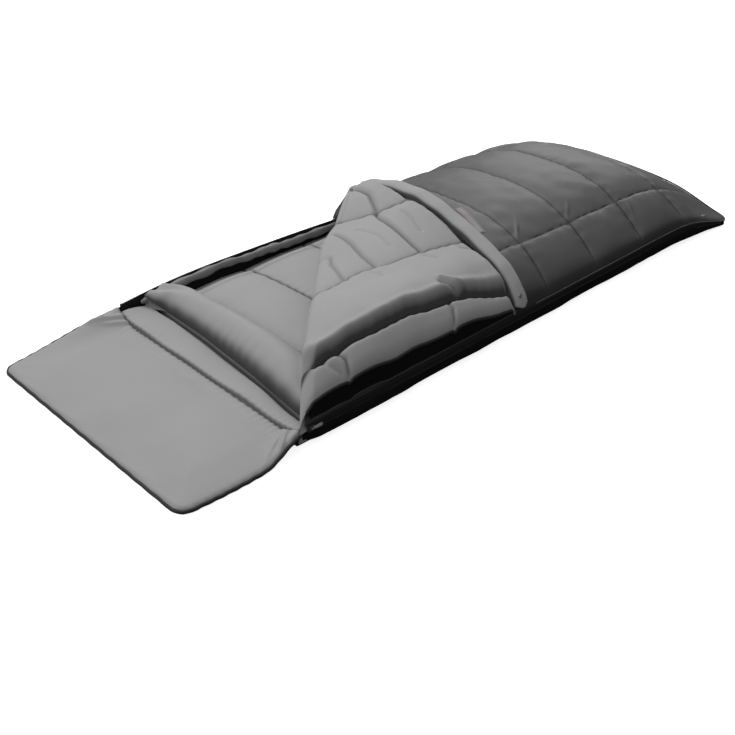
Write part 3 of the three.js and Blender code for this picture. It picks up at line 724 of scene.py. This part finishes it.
tv = spaced(-1, 1, 230, .55)
tu = np.linspace(0, 1, 420)
TU, TV = np.meshgrid(tu, tv, indexing="ij")
ty = TV * .4245
xs0 = np.clip(ty + .425 + .012 + .085 * smooth(.02, .36, ty), .0, .858)
r_c = .040
foot_x = 1.8975 - np.where(np.abs(ty) > .4245 - r_c,
                           r_c - np.sqrt(np.maximum(0, r_c ** 2 - (np.abs(ty) - (.4245 - r_c)) ** 2)), 0)
lo_x = xs0
span = TU ** 1.0
tx = lo_x + (foot_x - lo_x) * (span + 0.0)
tz, top_painted_shade = top_surface(tx, ty)
d_edge = np.minimum(.4245 - np.abs(ty), foot_x - tx)
rr = .020
drop = np.sqrt(np.maximum(0, 1 - (1 - np.clip(d_edge / rr, 0, 1)) ** 2))
ze = edge_z(tx, ty) - .009
tz = ze + (tz - ze) * np.maximum(drop, .0)
top_painted_shade = top_painted_shade * smooth(0, .02, d_edge)
# painted shade: the near flank's colour is darkened towards its lower edge, for the shade it hangs in
top_painted_shade = np.maximum(top_painted_shade, .85 * (1 - smooth(.004, .050, .4245 + ty)))
tb = np.minimum(tz - .0015, np.maximum(ze - .003, top_z(tx, ty) - .045 * smooth(0, .12, d_edge) - .004))
tb = np.where(d_edge < .004, tz - .0015, tb)
T = np.stack([tx, ty, tz], -1)
top = slab("top_quilt", pinch(T), pinch(np.stack([tx, ty, tb], -1)), SHELL, painted_shade_and_border=top_painted_shade)
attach(top, "bag")
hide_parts("top_outer_shell", "top_fill")

# lining of the closed top, seen from inside the opening
lt = tz - .0
li_t = np.stack([tx, ty * .985, tb - .0012], -1)
li_b = np.stack([tx, ty * .985, tb - .0032], -1)
inner = slab("top_lining_cloth", pinch(li_t[::2, ::2]), pinch(li_b[::2, ::2]), LINING)
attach(inner, "bag")
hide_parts("top_lining")

# piping round the closed top's edge
pp = wall_path(.0002)
keep = ~((pp[:, 0] < .90))
pz = edge_z(pp[:, 0], pp[:, 1]) - .0055
pipe_path = np.concatenate([pp, pz[:, None]], 1)[keep]
piping = tube_mesh("top_edge_piping", pinch(tube_grid(pipe_path, .0027, .0027, 12)), PIPE)
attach(piping, "bag")
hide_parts("top_piping")

# foot seam binding: closes the wall to the top round the foot
keep = pp[:, 0] > 1.862
fbp = np.concatenate([wall_path(.0012), (edge_z(pp[:, 0], pp[:, 1]) - .020)[:, None]], 1)[keep]
fbz = tube_grid(fbp, .0030, .0085, 14)
fb = tube_mesh("foot_edge_binding", pinch(fbz), BIND)
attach(fb, "bag")
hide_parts("foot_seam_binding")

# ---------------- folded-back corner (flap)

S_fn = rbf([
    (.83, .34, .160), (.83, .30, .208), (.83, .25, .252), (.83, .17, .288), (.83, .06, .300), (.83, -.026, .292),
    (.83, -.12, .265), (.83, -.23, .228), (.83, -.31, .203), (.83, -.37, .180), (.83, -.40, .145), (.83, -.43, .098),
    (0, -.36, .175), (.11, -.36, .212), (.22, -.36, .228), (.33, -.36, .233), (.42, -.36, .232), (.55, -.36, .220),
    (.66, -.36, .206), (.05, -.31, .186), (.15, -.31, .221), (.25, -.31, .236), (.35, -.31, .240), (.45, -.31, .240),
    (.55, -.31, .234), (.66, -.31, .224), (.30, -.13, .212), (.5, -.10, .225), (.65, -.13, .240), (.50, .05, .212), (.62, .06, .232),
    (.70, .20, .235), (.62, .16, .205), (.76, .29, .205), (.40, -.05, .205), (.45, -.22, .232), (.65, -.25, .232),
    (0, -.43, .106), (.09, -.43, .134), (.15, -.43, .143), (.32, -.43, .146), (.44, -.43, .145), (.54, -.43, .140),
    (.72, -.43, .118), (.80, -.43, .104)], 2e-4)

FLAP_X = .809
HEM_Y = -.428
S_MAX = (FLAP_X - .425 - HEM_Y) * K
S_SPLIT = .3005
Rf = .034


SEAM_1 = table([[.45, .300], [.55, .225], [.60, .170], [.642, .117], [.668, .082], [.704, .046], [.761, .014], [.83, -.010]])
SEAM_2 = table([[-.02, -.100], [.20, -.135], [.30, -.148], [.382, -.153], [.448, -.151], [.502, -.163], [.54, -.180],
                [.60, -.189], [.658, -.194], [.715, -.207], [.83, -.234]])
SEAM_3 = table([[-.02, -.372], [.40, -.372], [.61, -.378], [.715, -.386], [.83, -.402]])


def flap_seams(x, y):
    """Puff height and painted seam shade over the turned-back lining."""
    s1, s2, s3 = SEAM_1(x), SEAM_2(x), SEAM_3(x)
    h = np.zeros_like(x)
    for a, b, amp, power in [(s1, s1 + .32, .024, .40), (s2, s1, .027, .40), (s3, s2, .019, .16),
                             (np.full_like(x, -.448), s3, .012, .40)]:
        f = (y - a) / (b - a)
        h = np.where((f >= 0) & (f <= 1), amp * puff(np.clip(f, 0, 1), power), h)
    h = h + .0075 * np.exp(-((y - s3 - .017) / .013) ** 2) * (y > s3)
    cr = .75 * np.exp(-((y - s1) / .0045) ** 2) + .80 * np.exp(-((y - s2) / .0045) ** 2)
    cr = cr + 1.30 * np.exp(-((y - s3 - .001) / .0085) ** 2)
    return h, cr, np.minimum(np.abs(y - s1), np.minimum(np.abs(y - s2), np.abs(y - s3))), y - s3


def line_dent(x, y, pts, width, depth, fade=.04):
    """A stitched line or a wrinkle along a polyline, as a dent of that depth."""
    best = np.full(x.shape, 9.0)
    p = np.array(pts, float)
    for a, b in zip(p[:-1], p[1:]):
        ab = b - a
        t = np.clip(((x - a[0]) * ab[0] + (y - a[1]) * ab[1]) / (ab @ ab), 0, 1)
        best = np.minimum(best, np.hypot(x - a[0] - t * ab[0], y - a[1] - t * ab[1]))
    return depth * np.exp(-(best / width) ** 2), np.exp(-(best / (width * .5)) ** 2)


CROSSES = [  # short seams across the chambers, and wrinkles
    ([(.753, .260), (.754, .188), (.744, .123), (.708, .050)], .008, .011, .62),
    ([(.700, .048), (.678, .005), (.668, -.060), (.660, -.115), (.655, -.155), (.655, -.190)], .008, .012, .65),
    ([(.553, .065), (.538, -.018), (.513, -.098), (.505, -.155)], .008, .010, .50),
    ([(.450, -.030), (.430, -.057), (.401, -.132), (.398, -.150)], .007, .008, .42),
    ([(.735, -.030), (.728, -.080), (.715, -.130)], .006, .004, .12),
    ([(.600, .020), (.610, -.060), (.600, -.120)], .006, .004, .10),
    ([(.155, -.372), (.169, -.403), (.159, -.428)], .008, .008, .80),
    ([(.105, -.374), (.120, -.395), (.140, -.415)], .009, .006, .22),
    ([(.564, -.380), (.564, -.403), (.546, -.430)], .006, .009, .75),
    ([(.575, -.346), (.602, -.362), (.625, -.380)], .008, .012, .55),
    ([(.765, -.244), (.790, -.266), (.804, -.290)], .006, .005, .22),
    ([(.640, -.215), (.655, -.235), (.660, -.250)], .007, .004, .12),
    ([(.470, -.180), (.478, -.200), (.470, -.225)], .007, .004, .12),
]


def flap_top(x, y):
    z = S_fn(x, y)
    h, cr, d1, yy = flap_seams(x, y)
    z = z + h * (1 - .85 * smooth(.20, .31, y))
    for pts, w, dep, c in CROSSES:
        dent, line = line_dent(x, y, pts, w, dep)
        z = z - dent
        # painted shade along each short seam and wrinkle
        cr = np.maximum(cr, c * line)
    # a lip of cloth stands up beside the pinch
    lip, _ = line_dent(x, y, [(.585, -.330), (.615, -.348), (.640, -.372)], .008, .007)
    z = z + lip
    # deep fold above the hem chamber
    z = z - .026 * np.exp(-(yy / .0105) ** 2) * smooth(.0, .12, x)
    z += .0019 * np.exp(-d1 / .020) * np.sin(x * 135 + 3.2 * np.sin(x * 17)) * smooth(0, .005, d1)
    z += .0030 * n_a(x, y) + .0014 * n_b(x, y)
    # the panel dips to the stitching of the edge strip
    de = FLAP_X - x
    z = np.maximum(z - (.018 + .008 * (1 - smooth(0, .1, y))) * np.exp(-(de / .013) ** 2), np.minimum(z, .014))
    # painted shade in the dip at the strip's stitching
    cr = np.maximum(cr, 1.0 * np.exp(-(de / .0105) ** 2))
    z += .0018 * np.exp(-de / .02) * np.sin(y * 140 + 3 * np.sin(y * 15)) * (1 - smooth(.2, .3, y))
    return z, np.clip(cr, 0, 1)


def flap_xy(s, u):
    t0 = s
    t_hi = FLAP_X / K - s
    t_lo = s + (HEM_Y + .425) / K
    t = t_lo + (t_hi - t_lo) * u
    return (t + s) * K, -.425 + (t - s) * K


s_top = np.concatenate([np.linspace(0, 1, 16) ** 1.6 * Rf, np.linspace(Rf, S_SPLIT, 80)[1:],
                        np.linspace(S_SPLIT, S_MAX - .0015, 70)[1:]])
n_under = 22
split_row = int(np.argmin(np.abs(s_top - S_SPLIT)))
uu = spaced(0, 1, 300, .62)
SG, UG = np.meshgrid(s_top, uu, indexing="ij")
fx, fy = flap_xy(SG, UG)
# the fold line swings a little towards the foot at its far end
bend_y = fy


def swing(s, y):
    return (.074 * smooth(.02, .34, y) - .006 * (1 - smooth(-.4, .1, y))) * (1 - smooth(0, .16, s))


sw = swing(SG, fy)
fx2, fy2 = fx + sw * K, fy - sw * K
fz, flap_painted_shade = flap_top(fx2, fy2)
# round the fold: below the radius the surface turns down to its outermost line
g = np.clip(SG / Rf, 0, 1)
lipz, _ = flap_top(fx2 + (Rf - SG).clip(0) * K, fy2 - (Rf - SG).clip(0) * K)
fz = np.where(SG < Rf, lipz - Rf * (1 - np.sqrt(np.maximum(0, 1 - (1 - g) ** 2))), fz)
# hem and strip sides
dhem = fy2 - HEM_Y
hem_drop = .016 * (1 - np.sqrt(np.maximum(0, 1 - (1 - np.clip(dhem / .016, 0, 1)) ** 2)))
fz = fz - hem_drop
flap_painted_shade = flap_painted_shade * smooth(0, .012, np.where(SG < .02, .012, dhem))
FT = np.stack([fx2, fy2, fz], -1)

# the roll below the fold's outermost line, tucked inside
su = np.linspace(0, 1, n_under)
edge = FT[0]
roll = []
for q in su[1:]:
    a = min(1.0, q / .6) * math.pi / 2
    inward = Rf * (1 - math.cos(a)) + max(0, q - .6) / .4 * .07
    down = .034 * math.sin(a)
    q3 = edge + np.array([inward * K, -inward * K, -down])
    q3[:, 1] = np.maximum(q3[:, 1], np.minimum(edge[:, 1], -.404))
    q3[:, 2] = np.maximum(q3[:, 2], np.minimum(edge[:, 2] - .003, .088))
    # its tail lies inside the closed top, so that none of it shows when the corner is swung shut
    sunk = top_z(np.clip(q3[:, 0], 0, 2), np.clip(q3[:, 1], -.424, .424)) - .026
    tuck = smooth(.22, .50, q)
    q3[:, 2] = q3[:, 2] * (1 - tuck) + np.minimum(q3[:, 2], sunk) * tuck
    roll.append(q3)
roll = np.stack(roll)[::-1]
full = np.concatenate([roll, FT])
fn = grid_normals(full)
fn[fn[..., 2] < -.999999] *= 1
nr = len(roll)
bot = FT.copy()
base_floor = top_z(np.clip(fx2, 0, 2), np.clip(fy2, -.424, .424)) + .004
bot[..., 2] = np.minimum(FT[..., 2] - .0025, np.maximum(base_floor, FT[..., 2] - .060))
bot[..., 2] = np.where(SG < .03, FT[..., 2] - .0025, bot[..., 2])

under_t, under_n = full[:nr + 1], fn[:nr + 1]
under_b = under_t - under_n * .003
fold = slab("fold_roll_lining", under_t, under_b, LINING, normals=under_n,
            painted_shade_and_border=np.zeros(under_t.shape[:2]))
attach(fold, "bag")


a_t, b_t = FT[:split_row + 1], FT[split_row:]
flap_a = slab("flap_quilt", a_t, bot[:split_row + 1], LINING, normals=fn[nr:nr + split_row + 1],
              painted_shade_and_border=flap_painted_shade[:split_row + 1], under=WALL)
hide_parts("flap_outer_shell", "flap_fill", "flap_lining", "flap_hem")
flap_b = slab("flap_corner_quilt", b_t, bot[split_row:], LINING, normals=fn[nr + split_row:], painted_shade_and_border=flap_painted_shade[split_row:],
              under=WALL)
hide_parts("flap_corner_outer_shell", "flap_corner_fill", "flap_corner_lining", "flap_corner_hem")

# dark outer cloth under the flap, bound round the hem
hem_i = 0
hem_line = FT[:, 0]
off_y, off_z = -.0012, -.0035


def hem_tube(name, rows, nodes):
    p = rows.copy()
    p[:, 1] -= .0002
    p[:, 2] -= .0045
    t = tube_mesh(name, tube_grid(p, .0042, .0050, 12), BIND)
    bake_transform(t)
    return t


hem_a = hem_tube("flap_hem_binding", hem_line[10:split_row + 1], ())
hem_b = hem_tube("flap_corner_hem_binding", hem_line[split_row:-2], ())

# outer cloth on the under face of the flap
for nm, sl, bodies, ss in (("flap_outer_cloth", slice(12, split_row + 1), ("bag", "flap"), (-.002, .042)),
                           ("flap_corner_outer_cloth", slice(split_row, None), ("flap", "flap_corner"), (.33, .43))):
    o_t = bot[sl].copy()
    o_t[..., 2] -= .0008
    o_b = o_t.copy()
    o_b[..., 2] -= .0020
    o = slab(nm, o_t[::1, ::2], o_b[::1, ::2], SHELL)
    # cut: the turned-back triangle, legs 0.85, height 0.85 * K over the fold; the corner is what lies past the split
    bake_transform(o)

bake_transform(flap_a)
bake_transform(flap_b)

# edge strip: a stuffed band along the panel's end, its top following the crown
band = [(.846, .392, .108), (.842, .368, .146), (.839, .338, .182), (.837, .300, .228), (.837, .228, .280),
        (.837, .106, .314), (.837, -.006, .321), (.837, -.100, .303), (.837, -.205, .270), (.837, -.294, .233),
        (.837, -.355, .205), (.837, -.398, .163), (.838, -.424, .124), (.838, -.436, .092)]
bp = np.array(band)
bs = np.concatenate([[0], np.cumsum(np.linalg.norm(np.diff(bp, axis=0), axis=1))])
gs = np.linspace(0, bs[-1], 340)
bpath = np.stack([np.interp(gs, bs, bp[:, k]) for k in range(3)], -1)
for _ in range(30):
    bpath[1:-1] = (bpath[:-2] + 2 * bpath[1:-1] + bpath[2:]) / 4
bn = noise(61, 12)
bpath[:, 0] += .0022 * bn(bpath[:, 1], 0 * bpath[:, 1])
end = np.sqrt(np.clip((gs[-1] - gs) / .010, .12, 1))
end0 = .38 + .62 * smooth(.02, .16, gs)
rs = .0275 * end * end0 * (1 + .03 * np.sin(gs * 60))
ru = .0185 * end * end0
path_c = bpath.copy()
tt, sd, up = frames(path_c)
path_c = path_c - up * ru[:, None] * .95
segs = 36
an = np.arange(segs) * 2 * math.pi / segs
ca, sa = np.cos(an), np.sin(an)
sq = lambda v, p: np.sign(v) * np.abs(v) ** p
BG = (path_c[:, None] + sd[:, None] * (sq(ca, .8)[None, :, None] * rs[:, None, None])
      + up[:, None] * (sq(sa, .85)[None, :, None] * ru[:, None, None]))
rip = noise(63, 55)
BG[..., 2] += .0010 * rip(BG[..., 1], BG[..., 0])
bnorm = -grid_normals(BG, wrap=True)
centre_dir = (BG - path_c[:, None])
flip = np.sign((bnorm * centre_dir).sum(-1, keepdims=True))
bnorm = bnorm * np.where(flip == 0, 1, flip)
cut = int(np.argmin(np.abs(bpath[:, 1] + .020)))
# painted shade along the strip's inner side and on its underside
strip_inner_painted_shade = np.clip(.9 * np.exp(-((ca + 1) / .10) ** 2), 0, 1)
strip_painted_shade = np.tile(strip_inner_painted_shade[None], (len(gs), 1))
strip_painted_shade = np.maximum(strip_painted_shade, .8 * np.clip(-(sa + .25), 0, 1)[None])


def rows_closed(name, grid, nrm, cr, mat):
    n, m = grid.shape[:2]
    v = grid.reshape(-1, 3)
    f = [list(q) for q in grid_faces(n, m, wrap=True)]
    f.append(list(range(m))[::-1])
    f.append([(n - 1) * m + j for j in range(m)])
    # wind the faces outward
    p0, p1, p2 = v[f[m * n // 2 - 3][0]], v[f[m * n // 2 - 3][1]], v[f[m * n // 2 - 3][2]]
    fnrm = np.cross(p1 - p0, p2 - p0)
    if fnrm @ nrm.reshape(-1, 3)[f[m * n // 2 - 3][0]] < 0:
        f = [q[::-1] for q in f]
    return make(name, v, f, mat, normals=nrm.reshape(-1, 3), painted_shade_and_border=cr.reshape(-1))


strip_a = rows_closed("flap_strip_quilt", BG[:cut + 1], bnorm[:cut + 1], strip_painted_shade[:cut + 1], LINING)
strip_b = rows_closed("flap_corner_strip_quilt", BG[cut:], bnorm[cut:], strip_painted_shade[cut:], LINING)
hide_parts("flap_edge_strip")
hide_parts("flap_corner_edge_strip")
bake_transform(strip_a)
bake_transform(strip_b)

# ---------------- zips: woven tape with a row of moulded teeth


def zip_half(name, path, tape_dir, tooth_dir, nodes, pitch=.0042):
    """path is the teeth's line; the tape lies on the tape_dir side of it."""
    path = np.asarray(path, float)
    seg = np.concatenate([[0], np.cumsum(np.linalg.norm(np.diff(path, axis=0), axis=1))])
    n = max(8, int(seg[-1] / .006))
    g_ = np.linspace(0, seg[-1], n)
    c = np.stack([np.interp(g_, seg, path[:, k]) for k in range(3)], -1)
    t = np.gradient(c, axis=0)
    t /= np.linalg.norm(t, axis=1, keepdims=True)
    td = np.asarray(tape_dir, float)
    td = td - t * (t @ td)[:, None]
    td /= np.linalg.norm(td, axis=1, keepdims=True)
    nd = np.cross(t, td)
    prof_ = [(-.0004, .0005), (.0105, .0004), (.0105, -.0004), (-.0004, -.0005)]
    grid = np.stack([c + td * a + nd * b for a, b in prof_], 1)
    m = 4
    v = [grid.reshape(-1, 3)]
    f = [list(q) for q in grid_faces(n, m, wrap=True)] + [[0, 1, 2, 3][::-1], [(n - 1) * m + j for j in range(m)]]
    off = n * m
    k = int(seg[-1] / pitch)
    for i in range(k):
        s_ = (i + .5) * pitch
        p = np.array([np.interp(s_, seg, path[:, j]) for j in range(3)])
        a = min(n - 1, int(s_ / seg[-1] * (n - 1)))
        tv_, dv, nv_ = t[a], td[a], nd[a]
        q = []
        for (l, w, h) in ((-.0012, -.0024, -.0010), (.0012, -.0024, -.0010), (.0012, .0018, -.0013), (-.0012, .0018, -.0013),
                          (-.0012, -.0024, .0010), (.0012, -.0024, .0010), (.0012, .0018, .0013), (-.0012, .0018, .0013)):
            q.append(p + tv_ * l + dv * w + nv_ * h)
        v.append(np.array(q))
        for face in ((0, 3, 2, 1), (4, 5, 6, 7), (0, 1, 5, 4), (1, 2, 6, 5), (2, 3, 7, 6), (3, 0, 4, 7)):
            f.append([off + z_ for z_ in face])
        off += 8
    ob = make(name, pinch(np.concatenate(v)), f, COIL, sharp=35)
    if nodes:
        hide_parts(*nodes)
    return ob


zx = np.linspace(.0184, 1.845, 200)
far_base = zip_half("far_zip_base_teeth", np.stack([zx, np.full_like(zx, .4245), far_wave(zx) + 0.0], -1), (0, 0, -1), (0, 0, 1),
                    ("far_zip_base_half",))
near_base = zip_half("near_zip_base_teeth", np.stack([zx, np.full_like(zx, -.4262), np.full_like(zx, .0585)], -1),
                     (0, 0, -1), (0, 0, 1), ("near_zip_base_half",))
near_top = zip_half("near_zip_top_teeth", np.stack([zx, np.full_like(zx, -.4262), np.full_like(zx, .0625)], -1),
                    (0, 0, 1), (0, 0, -1), ("near_zip_top_half",))
zx2 = np.linspace(.875, 1.845, 110)
far_top = zip_half("far_zip_top_teeth", np.stack([zx2, np.full_like(zx2, .4262), np.full_like(zx2, .0645)], -1),
                   (0, 0, 1), (0, 0, -1), ("far_zip_top_half",))
for o in (far_base, near_base, near_top, far_top):
    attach(o, "bag")

# the open half of the far zip runs along the turned-back edge, outside the strip
zl = BG[:, 0] + np.array([.0, 0, -.004])
cut_z = int(np.argmin(np.abs(bpath[:, 1] + .020)))
side_pts = path_c + sd * 0
outer_x = path_c.copy()
outer_x[:, 0] = path_c[:, 0] + rs * .96
outer_x[:, 2] -= .004
za = zip_half("flap_zip_teeth", outer_x[28:cut_z + 1], (-1, 0, -.3), (1, 0, 0), ("flap_zip_half",))
zb = zip_half("flap_corner_zip_teeth", outer_x[cut_z:-8], (-1, 0, -.3), (1, 0, 0), ("flap_corner_zip_half",))
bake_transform(za)
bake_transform(zb)

for nm, x_, y_, z_ in (("far_zip_foot_stop", 1.8475, .4262, .0625), ("near_zip_foot_stop", 1.8475, -.4262, .0610),
                       ("far_zip_head_stop", .0158, .4245, .0635), ("near_zip_head_stop", .0158, -.4262, .0600)):
    bits = [soft_box((0, 0, 0), (.0042, .0034, .0090), .0009), soft_box((0, 0, .0006), (.0026, .0042, .0030), .0007)]
    at_ = pinch(np.array([x_, y_, z_]))
    bits = [([tuple(np.array(q) + at_) for q in pv_], pf_) for pv_, pf_ in bits]
    st_ = parts(nm + "_clip", bits, METAL)
    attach(st_, "bag")
    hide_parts(nm)

# ---------------- stud and patch

i_st = int(np.argmin(np.abs(bpath[:, 1] + .421)))
st_c = bpath[i_st] + np.array([-.006, 0, .0])
st_n = up[i_st]
pv, pf = lathe([(.0062, -.0006), (.0064, .0008), (.0058, .0018), (.0046, .0020), (.0042, .0016), (.0034, .0017),
                (.0026, .0026), (.0012, .0030)], st_c, st_n)
stud = parts("press_stud_button", [(pv, pf)], STUD)
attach(stud, "flap_corner")
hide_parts("press_stud_cap")

pu, pw = np.meshgrid(np.linspace(-.013, .013, 16), np.linspace(0, .150, 56), indexing="ij")
pd = np.array([.945 - .897, -.063 + .205]) / .150            # it follows the strip's curve
qx, qy = .897 + pu * pd[1] + pw * pd[0], -.205 - pu * pd[0] + pw * pd[1]
qz, _ = top_surface(qx, qy)
edge_p = np.minimum(np.minimum(pu + .013, .013 - pu), np.minimum(pw, .150 - pw))
pt = np.stack([qx, qy, qz + .0016 + .0006 * np.clip(edge_p / .003, 0, 1)], -1)
pb = np.stack([qx, qy, qz + .0002], -1)
# here the darkening mask draws the patch's woven border, 3 mm in from its edge, not shade
patch = slab("woven_patch_cloth", pt, pb, PATCH, painted_shade_and_border=np.exp(-((edge_p - .003) / .001) ** 2))
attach(patch, "bag")
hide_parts("woven_patch")

# hard parts kept from the frame
for n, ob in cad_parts.items():
    if ob.hide_render:
        continue
    ob.data.materials.clear()
    if "stud" in n:
        ob.data.materials.append(STUD)
    # painted highlight on the pulls: their pale grey stands in for a metal glint
    elif "pull" in n:
        ob.data.materials.append(PULL_GLINT)
    elif "stop" in n or "slider" in n:
        ob.data.materials.append(METAL)
    else:
        ob.data.materials.append(TAPE)
    ob.data.polygons.foreach_set("use_smooth", [True] * len(ob.data.polygons))
    ob.data.set_sharp_from_angle(angle=math.radians(30))

# ------------------------------------------------------------------ floor, lights, camera

fl = bpy.data.meshes.new("floor")
fl.from_pydata([(-30, -30, -.0004), (30, -30, -.0004), (30, 30, -.0004), (-30, 30, -.0004)], [], [(0, 1, 2, 3)])
floor = bpy.data.objects.new("floor", fl)
scene.collection.objects.link(floor)
fm = bpy.data.materials.new("floor_paper")
fm.use_nodes = True
fb_ = fm.node_tree.nodes["Principled BSDF"]
fb_.inputs["Base Color"].default_value = (.80, .80, .80, 1)
fb_.inputs["Roughness"].default_value = 1.0
fb_.inputs["Specular IOR Level"].default_value = 0.0
fb_.inputs["Emission Color"].default_value = (1, 1, 1, 1)
fb_.inputs["Emission Strength"].default_value = 0.82
fl.materials.append(fm)
floor.visible_diffuse = False
floor.visible_glossy = False

world = bpy.data.worlds.new("studio")
scene.world = world
world.use_nodes = True
wnt = world.node_tree
wco = wnt.nodes.new("ShaderNodeTexCoord")
wdot = wnt.nodes.new("ShaderNodeVectorMath")
wdot.operation = "DOT_PRODUCT"
wdot.inputs[1].default_value = Vector((-.30, .50, .80)).normalized()
wnt.links.new(wco.outputs["Generated"], wdot.inputs[0])
wmr = wnt.nodes.new("ShaderNodeMapRange")
wmr.interpolation_type = "SMOOTHSTEP"
wmr.inputs["From Min"].default_value = -.35
wmr.inputs["From Max"].default_value = .75
wmr.inputs["To Min"].default_value = .035
wmr.inputs["To Max"].default_value = .60
wnt.links.new(wdot.outputs["Value"], wmr.inputs["Value"])
wnt.links.new(wmr.outputs["Result"], wnt.nodes["Background"].inputs["Strength"])
wnt.nodes["Background"].inputs["Color"].default_value = (1, 1, 1, 1)


def area(name, loc, target, size, power):
    d = bpy.data.lights.new(name, "AREA")
    d.shape = "SQUARE"
    d.size = size
    d.energy = power
    o = bpy.data.objects.new(name, d)
    scene.collection.objects.link(o)
    o.location = loc
    o.rotation_euler = (Vector(loc) - Vector(target)).to_track_quat("Z", "Y").to_euler()
    return o


area("overhead", (.35, 1.2, 3.2), (0, 0, 0), 2.6, 57)
area("far_side", (3.6, 1.7, 1.7), (.6, 0, .2), 2.2, 26)
area("head_side", (-3.1, .4, 2.1), (-.2, 0, .1), 1.8, 22)
area("near_side", (-.5, -3.3, 1.5), (.1, -.2, .15), 2.4, 12)

cam = bpy.data.cameras.new("camera")
cam.lens = 53.88
cam.sensor_width = 36
cam.clip_start, cam.clip_end = .05, 200
camo = bpy.data.objects.new("camera", cam)
scene.collection.objects.link(camo)
camo.location = (-2.1537, -2.142, 1.6904)
camo.rotation_euler = Vector((-0.5731, -0.6105, 0.5465)).to_track_quat("Z", "Y").to_euler()
scene.camera = camo
scene.view_settings.view_transform = "Standard"
scene.view_settings.look = "None"
